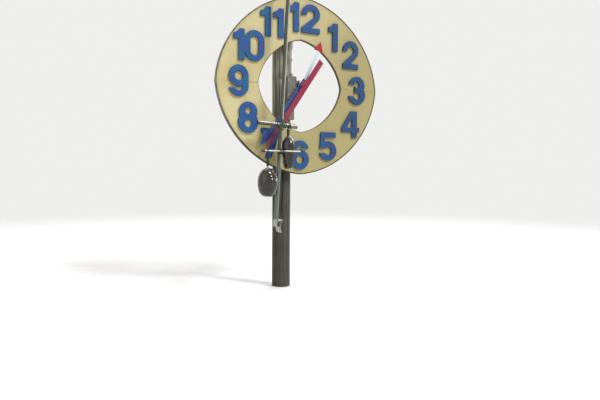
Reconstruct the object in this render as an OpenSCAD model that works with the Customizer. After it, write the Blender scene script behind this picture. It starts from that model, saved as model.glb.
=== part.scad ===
// Water-driven pendulum clock on a timber post, with a ring-shaped dial.
// Origin: centre of the post's foot, on the ground. +Z is up and the dial faces -Y.

/* [Post] */
// Height of the post above the ground
post_h = 4600; // [4560:10:4900]
// Diameter of the post at the ground
post_foot_d = 260; // [250:2:280]
// Diameter of the post at its top
post_top_d = 224; // [216:2:240]

/* [Dial ring] */
// Greatest diameter of the dial, over its rim hoop
dial_d = 2448; // [2428:4:2456]
// Greatest diameter of the hole in the dial, inside its lining
hole_d = 1268; // [1244:4:1272]
// How far the dial's edge falls short of a circle, midway between its soft points at 3, 6, 9 and 12
rim_flat = 45; // [20:1:50]
// How far the hole's edge falls short of a circle, in the same way
hole_flat = 45; // [20:1:50]
// Distance of the dial's centre below the post's top
dial_drop = 1780; // [1720:10:1820]
// Sideways place of the dial's centre from the post's axis
dial_x = 195; // [192:1:204]
// Distance from the post's axis to the dial's face
dial_face_y = 235; // [235:1:240]
// Thickness of the face boards
board_t = 18; // [15:1:22]
// Depth of the ribs behind the face boards
rib_t = 32; // [28:1:36]
// Width of the radial ribs
rib_w = 60; // [45:5:80]
// Width of the curved ribs along both edges
edge_rib_w = 50; // [40:2:55]
// Thickness of the hoop round the dial
hoop_t = 14; // [10:1:16]
// How far the hoop stands proud of the face and of the ribs
hoop_proud = 3; // [2:1:6]
// Thickness of the lining of the hole
lining_t = 6; // [4:1:10]
// Width of the open joint line between the two halves
seam_w = 3; // [2:1:6]
// Depth of the open joint line
seam_deep = 2; // [1:1:6]
// Thickness of the splice plates behind the joint
splice_t = 12; // [8:1:16]
// Height of the splice plates
splice_h = 96; // [80:4:110]

/* [Numerals] */
// Height of the numerals
numeral_h = 405; // [390:5:410]
// Width of a round digit
numeral_w = 280; // [270:2:284]
// Width of the numerals' strokes
stroke_w = 82; // [70:2:86]
// How far the numerals stand up from the face
numeral_t = 28; // [18:1:30]
// How far the numerals' circle lies outside the middle of the ring's band
numeral_shift = -4; // [-8:1:4]

/* [Crossarms] */
// Height of a crossarm's section
arm_h = 140; // [120:5:160]
// Thickness of the crossarms
arm_t = 70; // [60:2:72]
// Length of the crossarms
arm_len = 1400; // [1320:20:1420]
// Distance of each crossarm's middle inside the dial's edge
arm_inset = 374; // [350:2:420]

/* [Clockwork] */
// Width of the clockwork box
box_w = 130; // [120:2:136]
// Height of the clockwork box
box_h = 310; // [280:5:330]
// Depth of the clockwork box
box_deep = 120; // [112:1:122]
// Place of the box's left side from the post's axis
box_x = 7; // [3:1:12]
// How far the box's top stands above the dial's centre
box_up = 131; // [120:1:140]
// Thickness of the timber ledger under the box
shelf_t = 45; // [40:1:55]
// Length of the timber ledger
shelf_len = 280; // [240:10:300]
// Height of the bearing block beside the box
block_h = 156; // [140:2:170]
// Depth of the bearing block
block_deep = 70; // [60:2:80]
// Outer diameter of the vertical drive pipe
pipe_d = 34; // [30:1:36]
// Place of the drive pipe to the right of the post's axis
pipe_x = 110; // [107:1:112]
// Place of the drive pipe in front of the post's axis
pipe_y = 108; // [106:1:112]
// Distance of the drive pipe's top below the post's top
pipe_below_top = 160; // [100:10:200]
// Distance of the lower clip above the clockwork box
clip_up = 229; // [150:1:400]
// Distance of the upper clip below the drive pipe's top
clip_down = 290; // [200:10:320]

/* [Hands] */
// Outer diameter of the fixed sleeve round the arbors
sleeve_d = 60; // [56:1:66]
// Outer diameter of the hour hand's pipe
hour_pipe_d = 44; // [42:1:46]
// Outer diameter of the minute hand's pipe
minute_pipe_d = 34; // [32:1:36]
// Diameter of the sweep hand's arbor
arbor_d = 24; // [20:1:26]
// Gap all round between the turning pipes
run_gap = 0.3; // [0.3:0.05:0.5]
// Distance of the hour hand's middle in front of the face
hour_out = 50; // [46:1:54]
// Distance of the minute hand's middle in front of the face
minute_out = 76; // [72:1:80]
// Distance of the sweep hand's middle in front of the face
sweep_out = 120; // [112:1:122]
// Thickness of the hands' plates
hand_t = 6; // [4:1:8]
// Length of the hour hand from the centre to its tip
hour_len = 690; // [660:2:710]
// Width of the hour hand's shaft
hour_w = 46; // [36:1:52]
// Length of the hour hand's arrowhead
arrow_len = 146; // [130:2:156]
// Width of the hour hand's arrowhead
arrow_w = 150; // [130:2:160]
// How far the arrowhead is turned out of the hour hand's line, towards twelve
arrow_skew = 10; // [0:1:12]
// Length of the minute hand from the centre to its tip
minute_len = 1060; // [1040:5:1080]
// Width of the minute hand at its broadest
minute_w = 152; // [130:2:170]
// Length of the sweep hand from the centre to its tip
sweep_len = 1050; // [1020:5:1070]
// Length of the sweep hand's tail
sweep_tail = 435; // [400:5:480]
// Width of the sweep hand
sweep_w = 78; // [64:2:84]
// How far the sweep hand's blade lies to one side of its arbor
sweep_aside = 22; // [0:1:24]
// Hour hand's direction, clockwise from twelve
hour_angle = 26; // [0:1:359]
// Minute hand's direction, clockwise from twelve
minute_angle = 217; // [0:1:359]
// Sweep hand's direction, clockwise from twelve
sweep_angle = 214; // [0:1:359]

/* [Pendulum suspension] */
// Height of the suspension beam's section
beam_h = 140; // [120:5:160]
// Width of the suspension beam
beam_w = 80; // [70:2:90]
// Length of the beam behind the post's axis
beam_back = 150; // [130:5:200]
// Depth of the housing that the beam sits in, from the post's side
beam_housing = 61; // [52:1:64]
// Height of the timber left above the beam's housing
beam_cover = 95; // [80:5:140]
// Clear height between the pivot and the underside of the beam
pivot_drop = 65; // [60:1:75]
// Diameter of the pivot pin
pin_d = 30; // [26:1:34]
// Gap all round between the pin and the pendulum's head
pin_gap = 0.1; // [0.1:0.05:0.3]
// Outer diameter of the pendulum's head
head_d = 70; // [64:1:80]
// Length of the pendulum's head along the pin
head_len = 70; // [60:2:80]
// Gap between the head and each cheek
cheek_gap = 5; // [5:1:10]
// Thickness of the bracket's plates
cheek_t = 12; // [8:1:16]

/* [Pendulum] */
// Distance of the pendulum's plane in front of the dial's face
pend_out = 250; // [250:1:260]
// Lean of the pendulum at rest, foot to the left
lean = 3.3; // [0:0.1:4]
// Outer diameter of the pendulum's pipe
rod_d = 56; // [52:1:60]
// Wall of the pendulum's pipes
rod_wall = 4; // [3:0.5:6]
// Length of the pendulum from the pivot to the pipe's lower end
rod_len = 3400; // [3360:10:3420]
// Distance of the cross tube below the pivot
cross_down = 2055; // [2040:5:2070]
// Reach of the cross tube to the left of the pendulum's pipe
cross_left = 332; // [300:2:350]
// Reach of the cross tube to the right of the pendulum's pipe
cross_right = 216; // [200:2:230]
// Outer diameter of the cross tube
cross_d = 56; // [52:1:60]
// Outer diameter of the cross fitting's sockets
socket_d = 72; // [70:1:80]
// Depth of the sockets, from the middle of the fitting
socket_len = 68; // [60:2:76]
// Outer diameter of the white end coupling
coupling_d = 76; // [74:1:84]
// Length of the white end coupling
coupling_len = 96; // [90:1:100]
// Distance of the lower rod below the pivot
lower_down = 2408; // [2400:2:2420]
// Diameter of the lower rod
lower_d = 28; // [24:1:32]
// Reach of the lower rod to the left of the pendulum's pipe
lower_left = 286; // [274:2:296]
// Reach of the lower rod to the right of the pendulum's pipe
lower_right = 254; // [236:2:262]
// Distance of the lower rod in front of the pendulum's axis
lower_fore = 92; // [92:1:104]
// Length of the cap on the lower rod's left end
cap_len = 42; // [30:2:60]

/* [Weights] */
// Greatest diameter of the right weight
weight_r_d = 190; // [176:2:194]
// Height of the right weight's body, without its neck
weight_r_h = 440; // [420:5:460]
// Length of the right weight's neck
neck_len = 104; // [90:2:116]
// Diameter of the right weight's neck
neck_d = 44; // [36:1:50]
// Place of the right weight's strap along the cross tube
weight_r_at = 114; // [112:1:116]
// Distance of the right weight's axis behind the pendulum's axis
weight_r_back = 20; // [18:1:24]
// Greatest diameter of the left weight
weight_l_d = 268; // [240:2:272]
// Height of the left weight
weight_l_h = 376; // [352:4:392]
// Length of the left weight's hanger below the lower rod
hanger_len = 214; // [196:2:224]
// Diameter of the left weight's hanger
hanger_d = 14; // [10:1:20]
// Place of the hanger along the lower rod, left of the pendulum
weight_l_at = 207; // [196:1:216]

/* [Paddle] */
// Width of the paddle across the stream
paddle_w = 170; // [140:2:200]
// Height of the paddle
paddle_h = 176; // [150:2:200]
// Radius of the paddle's curve
paddle_r = 150; // [130:2:200]
// Thickness of the paddle's plate
paddle_t = 5; // [4:1:8]

/* [Hidden] */

fine = 96;
eps = 0.01;

// Small sizes of the standing part
joint_rib_w = 80;
notch_gap = 1.5;
box_back = 95;
block_inset = 10;
box_frame_w = 14;
box_panel_edge = 6;
box_recess = 3;
pipe_seat = 20;
clip_h = 26;
clip_t = 5;
clip_tab_w = 44;
clip_tab_len = 36;
beam_nose = 20;
block_boss_d = 86;
arbor_inset = 5;
pin_head_t = 9;
pin_head_d = 46;

// Places that follow from the sizes above, as depths in front of the post's axis
dial_z = post_h - dial_drop;
hoop_r = dial_d / 2;
arm_off = hoop_r - arm_inset;
board_r = hoop_r - hoop_t;
hole_r = hole_d / 2;
board_hole_r = hole_r + lining_t;
numeral_r = (hoop_r + hole_r) / 2 + numeral_shift;
ribs_front = dial_face_y - board_t;
ribs_back = ribs_front - rib_t;
arm_back = ribs_back - arm_t;
box_top = dial_z + box_up;
box_bottom = box_top - box_h;
box_front = box_back + box_deep;
block_front = box_front - block_inset;
block_back = block_front - block_deep;
block_right = dial_x - (box_x + box_w) - sleeve_d / 2;
pend_y = dial_face_y + pend_out;
beam_bottom = post_h - beam_cover - beam_h;
pivot_z = beam_bottom - pivot_drop;
cheek_inner = head_len / 2 + cheek_gap;
cheek_outer = cheek_inner + cheek_t;
beam_front = pend_y + cheek_outer + beam_nose;
post_r_at_beam = post_radius(beam_bottom + beam_h / 2);
beam_x = -(post_r_at_beam - beam_housing) - beam_w / 2;
pipe_top = post_h - pipe_below_top;

// Radius of the tapered post at a height
function post_radius(z) = (post_foot_d + (post_top_d - post_foot_d) * z / post_h) / 2;

// Points of an arc, from angle a to angle b, in n steps
function arc(cx, cy, r, a, b, n) =
    [for (i = [0:n]) [cx + r * cos(a + (b - a) * i / n), cy + r * sin(a + (b - a) * i / n)]];

// Cylinder from one depth in front of the post's axis to another, on the axis (x, z)
module bar_y(x, z, d, from, to) {
    translate([x, -from, z]) rotate([90, 0, 0]) cylinder(d = d, h = to - from, $fn = fine);
}

// Block between two corners, with its depths counted forward from the post's axis
module block(x0, x1, from, to, z0, z1) {
    translate([x0, -to, z0]) cube([x1 - x0, to - from, z1 - z0]);
}

// Flat shape drawn as seen from the front, placed round the dial's centre between two depths
module on_dial(from, to) {
    translate([dial_x, -from, dial_z]) rotate([90, 0, 0]) linear_extrude(to - from) children();
}

// Things drawn on the pendulum, with its pivot at the origin and its pipe straight down
module on_pendulum() {
    translate([beam_x, -pend_y, pivot_z]) rotate([0, lean, 0]) children();
}

// Post: tapered log with flat housings for what is bolted to it
module post_log() {
    cylinder(d1 = post_foot_d, d2 = post_top_d, h = post_h, $fn = fine);
}

module post() {
    wide = post_foot_d;
    color([0.50, 0.48, 0.43]) difference() {
        post_log();
        for (side = [-1, 1])
            block(-wide, wide, arm_back, wide,
                dial_z + side * arm_off - arm_h / 2, dial_z + side * arm_off + arm_h / 2);
        block(-wide, wide, box_back, wide, box_bottom - shelf_len, box_top);
        translate([beam_x - beam_w / 2, -wide, beam_bottom]) cube([beam_w, 2 * wide, beam_h]);
        translate([-wide - beam_w, -wide, beam_bottom])
            cube([wide + beam_w + beam_x, 2 * wide, beam_h]);
    }
}

module crossarm(side) {
    color([0.45, 0.42, 0.37]) difference() {
        block(dial_x - arm_len / 2, dial_x + arm_len / 2, arm_back, ribs_back,
            dial_z + side * arm_off - arm_h / 2, dial_z + side * arm_off + arm_h / 2);
        if (side > 0)
            translate([pipe_x, -pipe_y, dial_z])
                cylinder(d = pipe_d + 2 * notch_gap, h = post_h, $fn = fine);
    }
}

// Half plane above (side 1) or below (side -1) the joint, leaving a gap
module half(side, gap = 0) {
    reach = dial_d;
    translate([-reach, side > 0 ? gap : -reach - gap]) square([2 * reach, reach]);
}

// Outline that reaches r at the quarter hours, and r less flat midway between them
module soft_square(r, flat) {
    steps = 2 * fine;
    polygon([for (i = [0:steps - 1])
        let (a = 360 * i / steps, reach = r - flat * abs(sin(2 * a)))
            [reach * cos(a), reach * sin(a)]]);
}

// Band between two outlines of the dial's edge, or with both at its hole
module edge_band(outer, inner) {
    difference() {
        soft_square(outer, rim_flat);
        soft_square(inner, rim_flat);
    }
}

module hole_band(outer, inner) {
    difference() {
        soft_square(outer, hole_flat);
        soft_square(inner, hole_flat);
    }
}

// The whole width of the boards, with a margin at both edges
module board_band(margin = 0) {
    difference() {
        soft_square(board_r - margin, rim_flat);
        soft_square(board_hole_r + margin, hole_flat);
    }
}

module dial_board(side) {
    color([0.86, 0.79, 0.58]) {
        difference() {
            on_dial(ribs_front, dial_face_y) intersection() {
                board_band();
                half(side);
            }
            on_dial(dial_face_y - seam_deep, dial_face_y + 1) difference() {
                board_band(-1);
                half(1, seam_w / 2);
                half(-1, seam_w / 2);
            }
        }
    }
}

module rim_hoop() {
    color([0.33, 0.32, 0.28]) on_dial(ribs_back - hoop_proud, dial_face_y + hoop_proud)
        edge_band(hoop_r, board_r);
}

module hole_lining() {
    color([0.42, 0.38, 0.24]) on_dial(ribs_back, dial_face_y)
        hole_band(board_hole_r, hole_r);
}

// Ribs behind one half: two curved edge ribs, radial ribs and a straight one along the joint
module ribs(side) {
    color([0.55, 0.47, 0.34]) on_dial(ribs_back, ribs_front) intersection() {
        union() {
            edge_band(board_r, board_r - edge_rib_w);
            hole_band(board_hole_r + edge_rib_w, board_hole_r);
            intersection() {
                board_band(1);
                union() {
                    for (a = [30:30:150]) rotate(side * a)
                        translate([0, -rib_w / 2]) square([board_r, rib_w]);
                    translate([-board_r, -joint_rib_w / 2]) square([2 * board_r, joint_rib_w]);
                }
            }
        }
        half(side);
    }
}

// Splice plates across the joint, one on the left and one on the right
module splices() {
    inner = board_hole_r + edge_rib_w / 2;
    outer = board_r - edge_rib_w / 2;
    len = outer - inner;
    color([0.38, 0.37, 0.34]) for (side = [-1, 1]) {
        mid = dial_x + side * (inner + outer) / 2;
        block(mid - len / 2, mid + len / 2, ribs_back - splice_t, ribs_back,
            dial_z - splice_h / 2, dial_z + splice_h / 2);
    }
}

// Digits: heavy plain figures, drawn round their own centre
bar_w = stroke_w * 0.92;
half_h = numeral_h / 2;
half_w = numeral_w / 2;
hole_r_digit = half_w - stroke_w;
low_centre = -half_h + half_w;

// Flag of the 1: its reach, and how far its corners lie below the figure's top
flag_w = 68;
flag_brow = 42;
flag_tip = 62;
flag_root = 128;
flag_nip = 12;

// Width of the 1, and the spaces between the digits of 10, 11 and 12
one_w = stroke_w + flag_w;
digit_gaps = [-1, 38, 40];

// How each numeral was set by eye: sideways and upward shift, and its width and height
// against the others, from 1 to 12
numeral_set = [
    [30, -80, 1, 0.97], [-19, 38, 0.92, 0.99], [-34, -3, 1, 1], [-14, -34, 1, 0.95],
    [-44, -24, 0.98, 1], [-20, -30, 0.96, 1], [0, 0, 1, 1], [20, -8, 1, 1.02],
    [12, 6, 0.97, 1.02], [34, 16, 1, 1], [24, 18, 1, 0.97], [44, 8, 1, 0.98]
];

module stadium(w, h) {
    for (s = [-1, 1]) translate([0, s * (h - w) / 2]) circle(d = w, $fn = fine);
    square([w, h - w], center = true);
}

module digit_0() {
    difference() {
        stadium(numeral_w, numeral_h);
        stadium(numeral_w - 2 * stroke_w, numeral_h - 2 * bar_w);
    }
}

module digit_1() {
    edge = stroke_w / 2;
    polygon([[edge, -half_h], [edge, half_h], [-edge + flag_nip, half_h],
        [-edge - flag_w * 0.3, half_h - flag_brow], [-edge - flag_w, half_h - flag_tip],
        [-edge - flag_w, half_h - flag_tip - bar_w], [-edge, half_h - flag_root], [-edge, -half_h]]);
}

module digit_2() {
    top = half_h - half_w;
    foot = -half_h + bar_w;
    start = 188;
    turn = -36;
    polygon(concat(
        arc(0, top, half_w, start, turn, 36),
        [[half_w * 0.02, foot], [half_w, foot], [half_w, -half_h], [-half_w, -half_h],
            [-half_w, foot]],
        arc(0, top, half_w - stroke_w, turn, start, 28)));
}

module digit_3() {
    arm = half_w * 0.26;
    waist = half_h * 0.84;
    difference() {
        digit_8_outline();
        digit_8_holes();
        translate([-numeral_w, -waist / 2]) square([numeral_w - arm, waist]);
    }
}

module digit_4() {
    stem = half_w * 0.2;
    bar = -half_h + half_h * 0.415;
    right = half_w * 1.06;
    left = -half_w * 1.03;
    difference() {
        polygon([[stem + stroke_w, -half_h], [stem + stroke_w, bar], [right, bar],
            [right, bar + bar_w], [stem + stroke_w, bar + bar_w],
            [stem + stroke_w, half_h], [stem * 0.2, half_h], [left, bar + bar_w],
            [left, bar], [stem, bar], [stem, -half_h]]);
        polygon([[stem, bar + bar_w], [stem, half_h * 0.45], [-half_w * 0.44, bar + bar_w]]);
    }
}

module digit_5() {
    notch = half_w * 0.24;
    side = half_w * 0.815;
    foot = half_w * 0.93;
    translate([-side, half_h - bar_w]) square([numeral_w - side * 0.35, bar_w]);
    polygon([[-side, half_h], [-foot, low_centre + notch], [-foot + stroke_w * 0.8, low_centre + notch],
        [-side + stroke_w * 0.86, half_h]]);
    difference() {
        translate([0, low_centre]) circle(r = half_w, $fn = fine);
        translate([0, low_centre]) circle(r = hole_r_digit, $fn = fine);
        translate([-numeral_w, low_centre - notch]) square([numeral_w - notch, 2 * notch]);
    }
}

module digit_6() {
    difference() {
        union() {
            translate([0, low_centre]) circle(r = half_w, $fn = fine);
            difference() {
                digit_0();
                translate([0, low_centre])
                    square([numeral_w, half_h - low_centre - bar_w - stroke_w * 0.37]);
            }
        }
        translate([0, low_centre]) circle(r = hole_r_digit, $fn = fine);
    }
}

module digit_7() {
    polygon([[-half_w * 0.96, half_h], [half_w, half_h], [half_w, half_h - bar_w * 0.8],
        [half_w * 0.06, -half_h], [-stroke_w, -half_h],
        [half_w - stroke_w * 1.17, half_h - bar_w], [-half_w * 0.96, half_h - bar_w]]);
}

module digit_8_outline() {
    translate([0, half_h - half_w * 0.92]) circle(r = half_w * 0.92, $fn = fine);
    translate([0, low_centre]) circle(r = half_w, $fn = fine);
}

module digit_8_holes() {
    top_r = hole_r_digit * 0.72;
    low_r = hole_r_digit * 0.86;
    translate([0, half_h - bar_w - top_r]) circle(r = top_r, $fn = fine);
    translate([0, -half_h + bar_w + low_r]) circle(r = low_r, $fn = fine);
}

module digit_8() {
    difference() {
        digit_8_outline();
        digit_8_holes();
    }
}

module digit_9() {
    rotate(180) digit_6();
}

module digit(n) {
    if (n == 0) digit_0();
    if (n == 1) digit_1();
    if (n == 2) digit_2();
    if (n == 3) digit_3();
    if (n == 4) digit_4();
    if (n == 5) digit_5();
    if (n == 6) digit_6();
    if (n == 7) digit_7();
    if (n == 8) digit_8();
    if (n == 9) digit_9();
}

// Number n of the dial, drawn round its own centre
module figure(n) {
    if (n < 10) {
        translate([n == 1 ? flag_w / 2 : 0, 0]) digit(n);
    } else {
        second_w = n == 11 ? one_w : numeral_w;
        full = one_w + digit_gaps[n - 10] + second_w;
        translate([-full / 2 + flag_w + stroke_w / 2, 0]) digit(1);
        translate([full / 2 - (n == 11 ? stroke_w / 2 : second_w / 2), 0]) digit(n - 10);
    }
}

module numeral(n) {
    place = numeral_set[n - 1];
    color([0.25, 0.38, 0.55]) on_dial(dial_face_y, dial_face_y + numeral_t)
        translate([numeral_r * sin(30 * n) + place[0], numeral_r * cos(30 * n) + place[1]])
            scale([place[2], place[3]]) figure(n);
}

module clockwork_box() {
    rim = box_frame_w;
    field = rim + box_panel_edge;
    color([0.55, 0.56, 0.55]) {
        difference() {
            block(box_x, box_x + box_w, box_back, box_front, box_bottom, box_top);
            block(box_x + rim, box_x + box_w - rim, box_front - box_recess, box_front + 1,
                box_bottom + rim, box_top - rim);
            translate([pipe_x, -pipe_y, box_top - pipe_seat])
                cylinder(d = pipe_d, h = 2 * pipe_seat, $fn = fine);
        }
        block(box_x + field, box_x + box_w - field, box_front - box_recess - eps, box_front - 1,
            box_bottom + field, box_top - field);
    }
}

// Timber ledger on the post that the box stands on
module box_shelf() {
    color([0.44, 0.41, 0.36]) block(box_x, box_x + box_w, box_back, box_back + shelf_t,
        box_bottom - shelf_len, box_bottom);
}

// Block bolted to the box's side, with the fixed sleeve that carries the arbors
module bearing_block() {
    side = box_x + box_w;
    color([0.16, 0.16, 0.17]) difference() {
        union() {
            block(side, dial_x, block_back, block_front, dial_z - block_h / 2, dial_z + block_h / 2);
            bar_y(dial_x, dial_z, block_boss_d, block_back, block_front);
        }
        bar_y(dial_x, dial_z, hour_bore_d, block_back - 1, block_front + 1);
    }
    color([0.30, 0.31, 0.32]) difference() {
        bar_y(dial_x, dial_z, sleeve_d, block_front - 1, sleeve_end);
        bar_y(dial_x, dial_z, hour_bore_d, block_back - 1, sleeve_end + 1);
    }
}

hour_bore_d = hour_pipe_d + 2 * run_gap;
minute_bore_d = minute_pipe_d + 2 * run_gap;
arbor_bore_d = arbor_d + 2 * run_gap;
hub_t = 14;
sleeve_end = dial_face_y + hour_out - hub_t / 2 - 14;

module drive_pipe() {
    foot = box_top - pipe_seat;
    color([0.72, 0.73, 0.72]) translate([pipe_x, -pipe_y, foot])
        cylinder(d = pipe_d, h = pipe_top - foot, $fn = fine);
}

// Clips that hold the drive pipe to the post, each with a tab against the timber
module pipe_clips() {
    reach = norm([pipe_x, pipe_y]);
    turn = atan2(-pipe_y, pipe_x);
    tab_from = reach - clip_tab_len - pipe_d * 0.3;
    color([0.40, 0.40, 0.38]) for (z = [box_top + clip_up, pipe_top - clip_down]) difference() {
        union() {
            translate([pipe_x, -pipe_y, z]) cylinder(d = pipe_d + 2 * clip_t, h = clip_h, $fn = fine);
            rotate(turn) translate([tab_from, -clip_tab_w / 2, z])
                cube([clip_tab_len, clip_tab_w, clip_h]);
        }
        translate([pipe_x, -pipe_y, z - 1]) cylinder(d = pipe_d, h = clip_h + 2, $fn = fine);
        post_log();
    }
}

// Flat hand drawn pointing up, turned clockwise and set between two depths
module hand_plate(angle, out, t) {
    on_dial(dial_face_y + out - t / 2, dial_face_y + out + t / 2) rotate(-angle) children();
}

// Small sizes of the hands
hour_hub_d = 116;
hour_flare = 8;
hour_flare_len = 170;
hour_taper = 4;
arrow_lap = 40;
arrow_notch = 12;
minute_hub_d = 96;
minute_root_w = 116;
minute_neck_w = 44;
minute_neck_at = 0.715;
minute_point_len = 188;
minute_tail = 76;
sweep_hub_d = 100;
sweep_point_len = 90;
sweep_tail_slant = 16;

module hour_hand() {
    front = dial_face_y + hour_out + hub_t / 2;
    root = hour_w / 2 + hour_flare;
    tip = hour_w / 2 - hour_taper;
    shaft_end = hour_len - arrow_len + arrow_lap;
    color([0.80, 0.86, 0.90]) difference() {
        union() {
            bar_y(dial_x, dial_z, hour_pipe_d, block_back + arbor_inset, front);
            bar_y(dial_x, dial_z, hour_hub_d, front - hub_t, front);
            hand_plate(hour_angle, hour_out, hand_t)
                polygon([[-root, 0], [root, 0], [hour_w / 2, hour_flare_len],
                    [tip, shaft_end], [-tip, shaft_end], [-hour_w / 2, hour_flare_len]]);
        }
        bar_y(dial_x, dial_z, minute_bore_d, block_back, front + 1);
    }
}

module hour_arrow() {
    base = hour_len - arrow_len;
    color([0.70, 0.20, 0.19]) hand_plate(hour_angle, hour_out + hand_t, hand_t)
        translate([0, base]) rotate(arrow_skew) polygon([[0, arrow_len], [arrow_w / 2, 0],
            [0, arrow_notch], [-arrow_w / 2, 0]]);
}

module minute_hand() {
    root = minute_root_w / 2;
    neck = minute_neck_w / 2;
    neck_at = minute_len * minute_neck_at;
    broad = minute_len - minute_point_len;
    front = dial_face_y + minute_out + hub_t / 2;
    color([0.27, 0.36, 0.56]) difference() {
        union() {
            bar_y(dial_x, dial_z, minute_pipe_d, block_back + arbor_inset, front);
            bar_y(dial_x, dial_z, minute_hub_d, front - hub_t, front);
            hand_plate(minute_angle, minute_out, hand_t)
                polygon([[-root, -minute_tail], [root, -minute_tail], [neck, neck_at],
                    [minute_w / 2, broad], [0, minute_len], [-minute_w / 2, broad],
                    [-neck, neck_at]]);
        }
        bar_y(dial_x, dial_z, arbor_bore_d, block_back, front + 1);
    }
}

module sweep_hand() {
    side = sweep_w / 2;
    shoulder = sweep_len - sweep_point_len;
    front = dial_face_y + sweep_out + hub_t / 2;
    color([0.66, 0.22, 0.30]) union() {
        bar_y(dial_x, dial_z, arbor_d, block_back + arbor_inset, front);
        bar_y(dial_x, dial_z, sweep_hub_d, front - hub_t, front);
        hand_plate(sweep_angle, sweep_out, hand_t) translate([-sweep_aside, 0])
            polygon([[-side, -sweep_tail + sweep_tail_slant], [side, -sweep_tail],
                [side, shoulder], [0, sweep_len], [-side, shoulder]]);
    }
}

module suspension_beam() {
    color([0.44, 0.41, 0.36]) block(beam_x - beam_w / 2, beam_x + beam_w / 2,
        -beam_back, beam_front, beam_bottom, beam_bottom + beam_h);
}

// Inverted channel under the beam, with a bearing cheek on each side of the head
module pivot_bracket() {
    color([0.36, 0.37, 0.37]) difference() {
        union() {
            block(beam_x - beam_w / 2, beam_x + beam_w / 2, pend_y - cheek_outer,
                pend_y + cheek_outer, beam_bottom - cheek_t, beam_bottom);
            for (from = [pend_y + cheek_inner, pend_y - cheek_outer]) {
                block(beam_x - head_d / 2, beam_x + head_d / 2, from, from + cheek_t,
                    pivot_z, beam_bottom - cheek_t + eps);
                bar_y(beam_x, pivot_z, head_d, from, from + cheek_t);
            }
        }
        bar_y(beam_x, pivot_z, pin_d, pend_y - cheek_outer - 1, pend_y + cheek_outer + 1);
    }
}

module pivot_pin() {
    end = cheek_outer + pin_head_t;
    color([0.60, 0.60, 0.58]) {
        bar_y(beam_x, pivot_z, pin_d, pend_y - end, pend_y + end);
        bar_y(beam_x, pivot_z, pin_head_d, pend_y + cheek_outer, pend_y + end);
        bar_y(beam_x, pivot_z, pin_head_d, pend_y - end, pend_y - cheek_outer);
    }
}

// Small sizes of the pendulum
socket_top = head_d / 2 + 14;
head_socket_len = 130;
head_socket_d = 66;
bead_t = 3;
bead_h = 16;
stop_t = 8;
coupling_wall = 10;
coupling_band_h = 20;
coupling_band_t = 3;
cap_wall = 4;
clamp_wall = 5;
clamp_h = 70;
clamp_w = 66;
clamp_lug = 40;
clamp_socket_d = 48;

module pendulum_head() {
    color([0.42, 0.44, 0.42]) on_pendulum() difference() {
        union() {
            rotate([90, 0, 0]) cylinder(d = head_d, h = head_len, center = true, $fn = fine);
            translate([0, 0, -head_socket_len])
                cylinder(d = head_socket_d, h = head_socket_len, $fn = fine);
        }
        rotate([90, 0, 0])
            cylinder(d = pin_d + 2 * pin_gap, h = head_len + 2, center = true, $fn = fine);
        translate([0, 0, -head_socket_len - 1])
            cylinder(d = rod_d, h = head_socket_len + 1 - socket_top, $fn = fine);
    }
}

module pendulum_rod() {
    color([0.55, 0.58, 0.52]) on_pendulum() difference() {
        translate([0, 0, -rod_len]) cylinder(d = rod_d, h = rod_len - socket_top, $fn = fine);
        translate([0, 0, -rod_len - 1])
            cylinder(d = rod_d - 2 * rod_wall, h = rod_len, $fn = fine);
    }
}

module cross_fitting() {
    color([0.27, 0.42, 0.33]) on_pendulum() translate([0, 0, -cross_down]) difference() {
        union() {
            cylinder(d = socket_d, h = 2 * socket_len, center = true, $fn = fine);
            rotate([0, 90, 0]) cylinder(d = socket_d, h = 2 * socket_len, center = true, $fn = fine);
            for (s = [-1, 1]) {
                translate([0, 0, s * (socket_len - bead_h / 2)])
                    cylinder(d = socket_d + 2 * bead_t, h = bead_h, center = true, $fn = fine);
                translate([s * (socket_len - bead_h / 2), 0, 0]) rotate([0, 90, 0])
                    cylinder(d = socket_d + 2 * bead_t, h = bead_h, center = true, $fn = fine);
            }
        }
        cylinder(d = rod_d, h = 3 * socket_len, center = true, $fn = fine);
        for (s = [-1, 1]) translate([s * (rod_d / 2 + stop_t + socket_len), 0, 0])
            rotate([0, 90, 0]) cylinder(d = cross_d, h = 2 * socket_len, center = true, $fn = fine);
    }
}

// One arm of the cross tube, from the socket's bottom to its reach
module cross_arm(reach) {
    start = rod_d / 2 + stop_t;
    rotate([0, 90, 0]) translate([0, 0, start]) difference() {
        cylinder(d = cross_d, h = reach - start, $fn = fine);
        translate([0, 0, -1]) cylinder(d = cross_d - 2 * rod_wall, h = reach, $fn = fine);
    }
}

module cross_tube() {
    color([0.78, 0.77, 0.72]) on_pendulum() translate([0, 0, -cross_down]) {
        cross_arm(cross_right);
        rotate(180) cross_arm(cross_left);
    }
}

module end_coupling() {
    wall = coupling_wall;
    color([0.90, 0.89, 0.86]) on_pendulum()
        translate([cross_right + wall - coupling_len, 0, -cross_down]) rotate([0, 90, 0])
            difference() {
                union() {
                    cylinder(d = coupling_d - 2 * coupling_band_t, h = coupling_len, $fn = fine);
                    for (z = [0, coupling_len - coupling_band_h]) translate([0, 0, z])
                        cylinder(d = coupling_d, h = coupling_band_h, $fn = fine);
                }
                translate([0, 0, -1])
                    cylinder(d = cross_d, h = coupling_len - wall + 1, $fn = fine);
            }
}

// The lower rod and what hangs from it stay level and plumb on the leaning pendulum
module on_lower_rod() {
    on_pendulum() translate([0, 0, -lower_down]) rotate([0, -lean, 0])
        translate([0, -lower_fore, 0]) children();
}

module lower_rod() {
    color([0.80, 0.80, 0.77]) on_lower_rod() {
        translate([-lower_left, 0, 0]) rotate([0, 90, 0])
            cylinder(d = lower_d, h = lower_left + lower_right, $fn = fine);
    }
}

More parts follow.
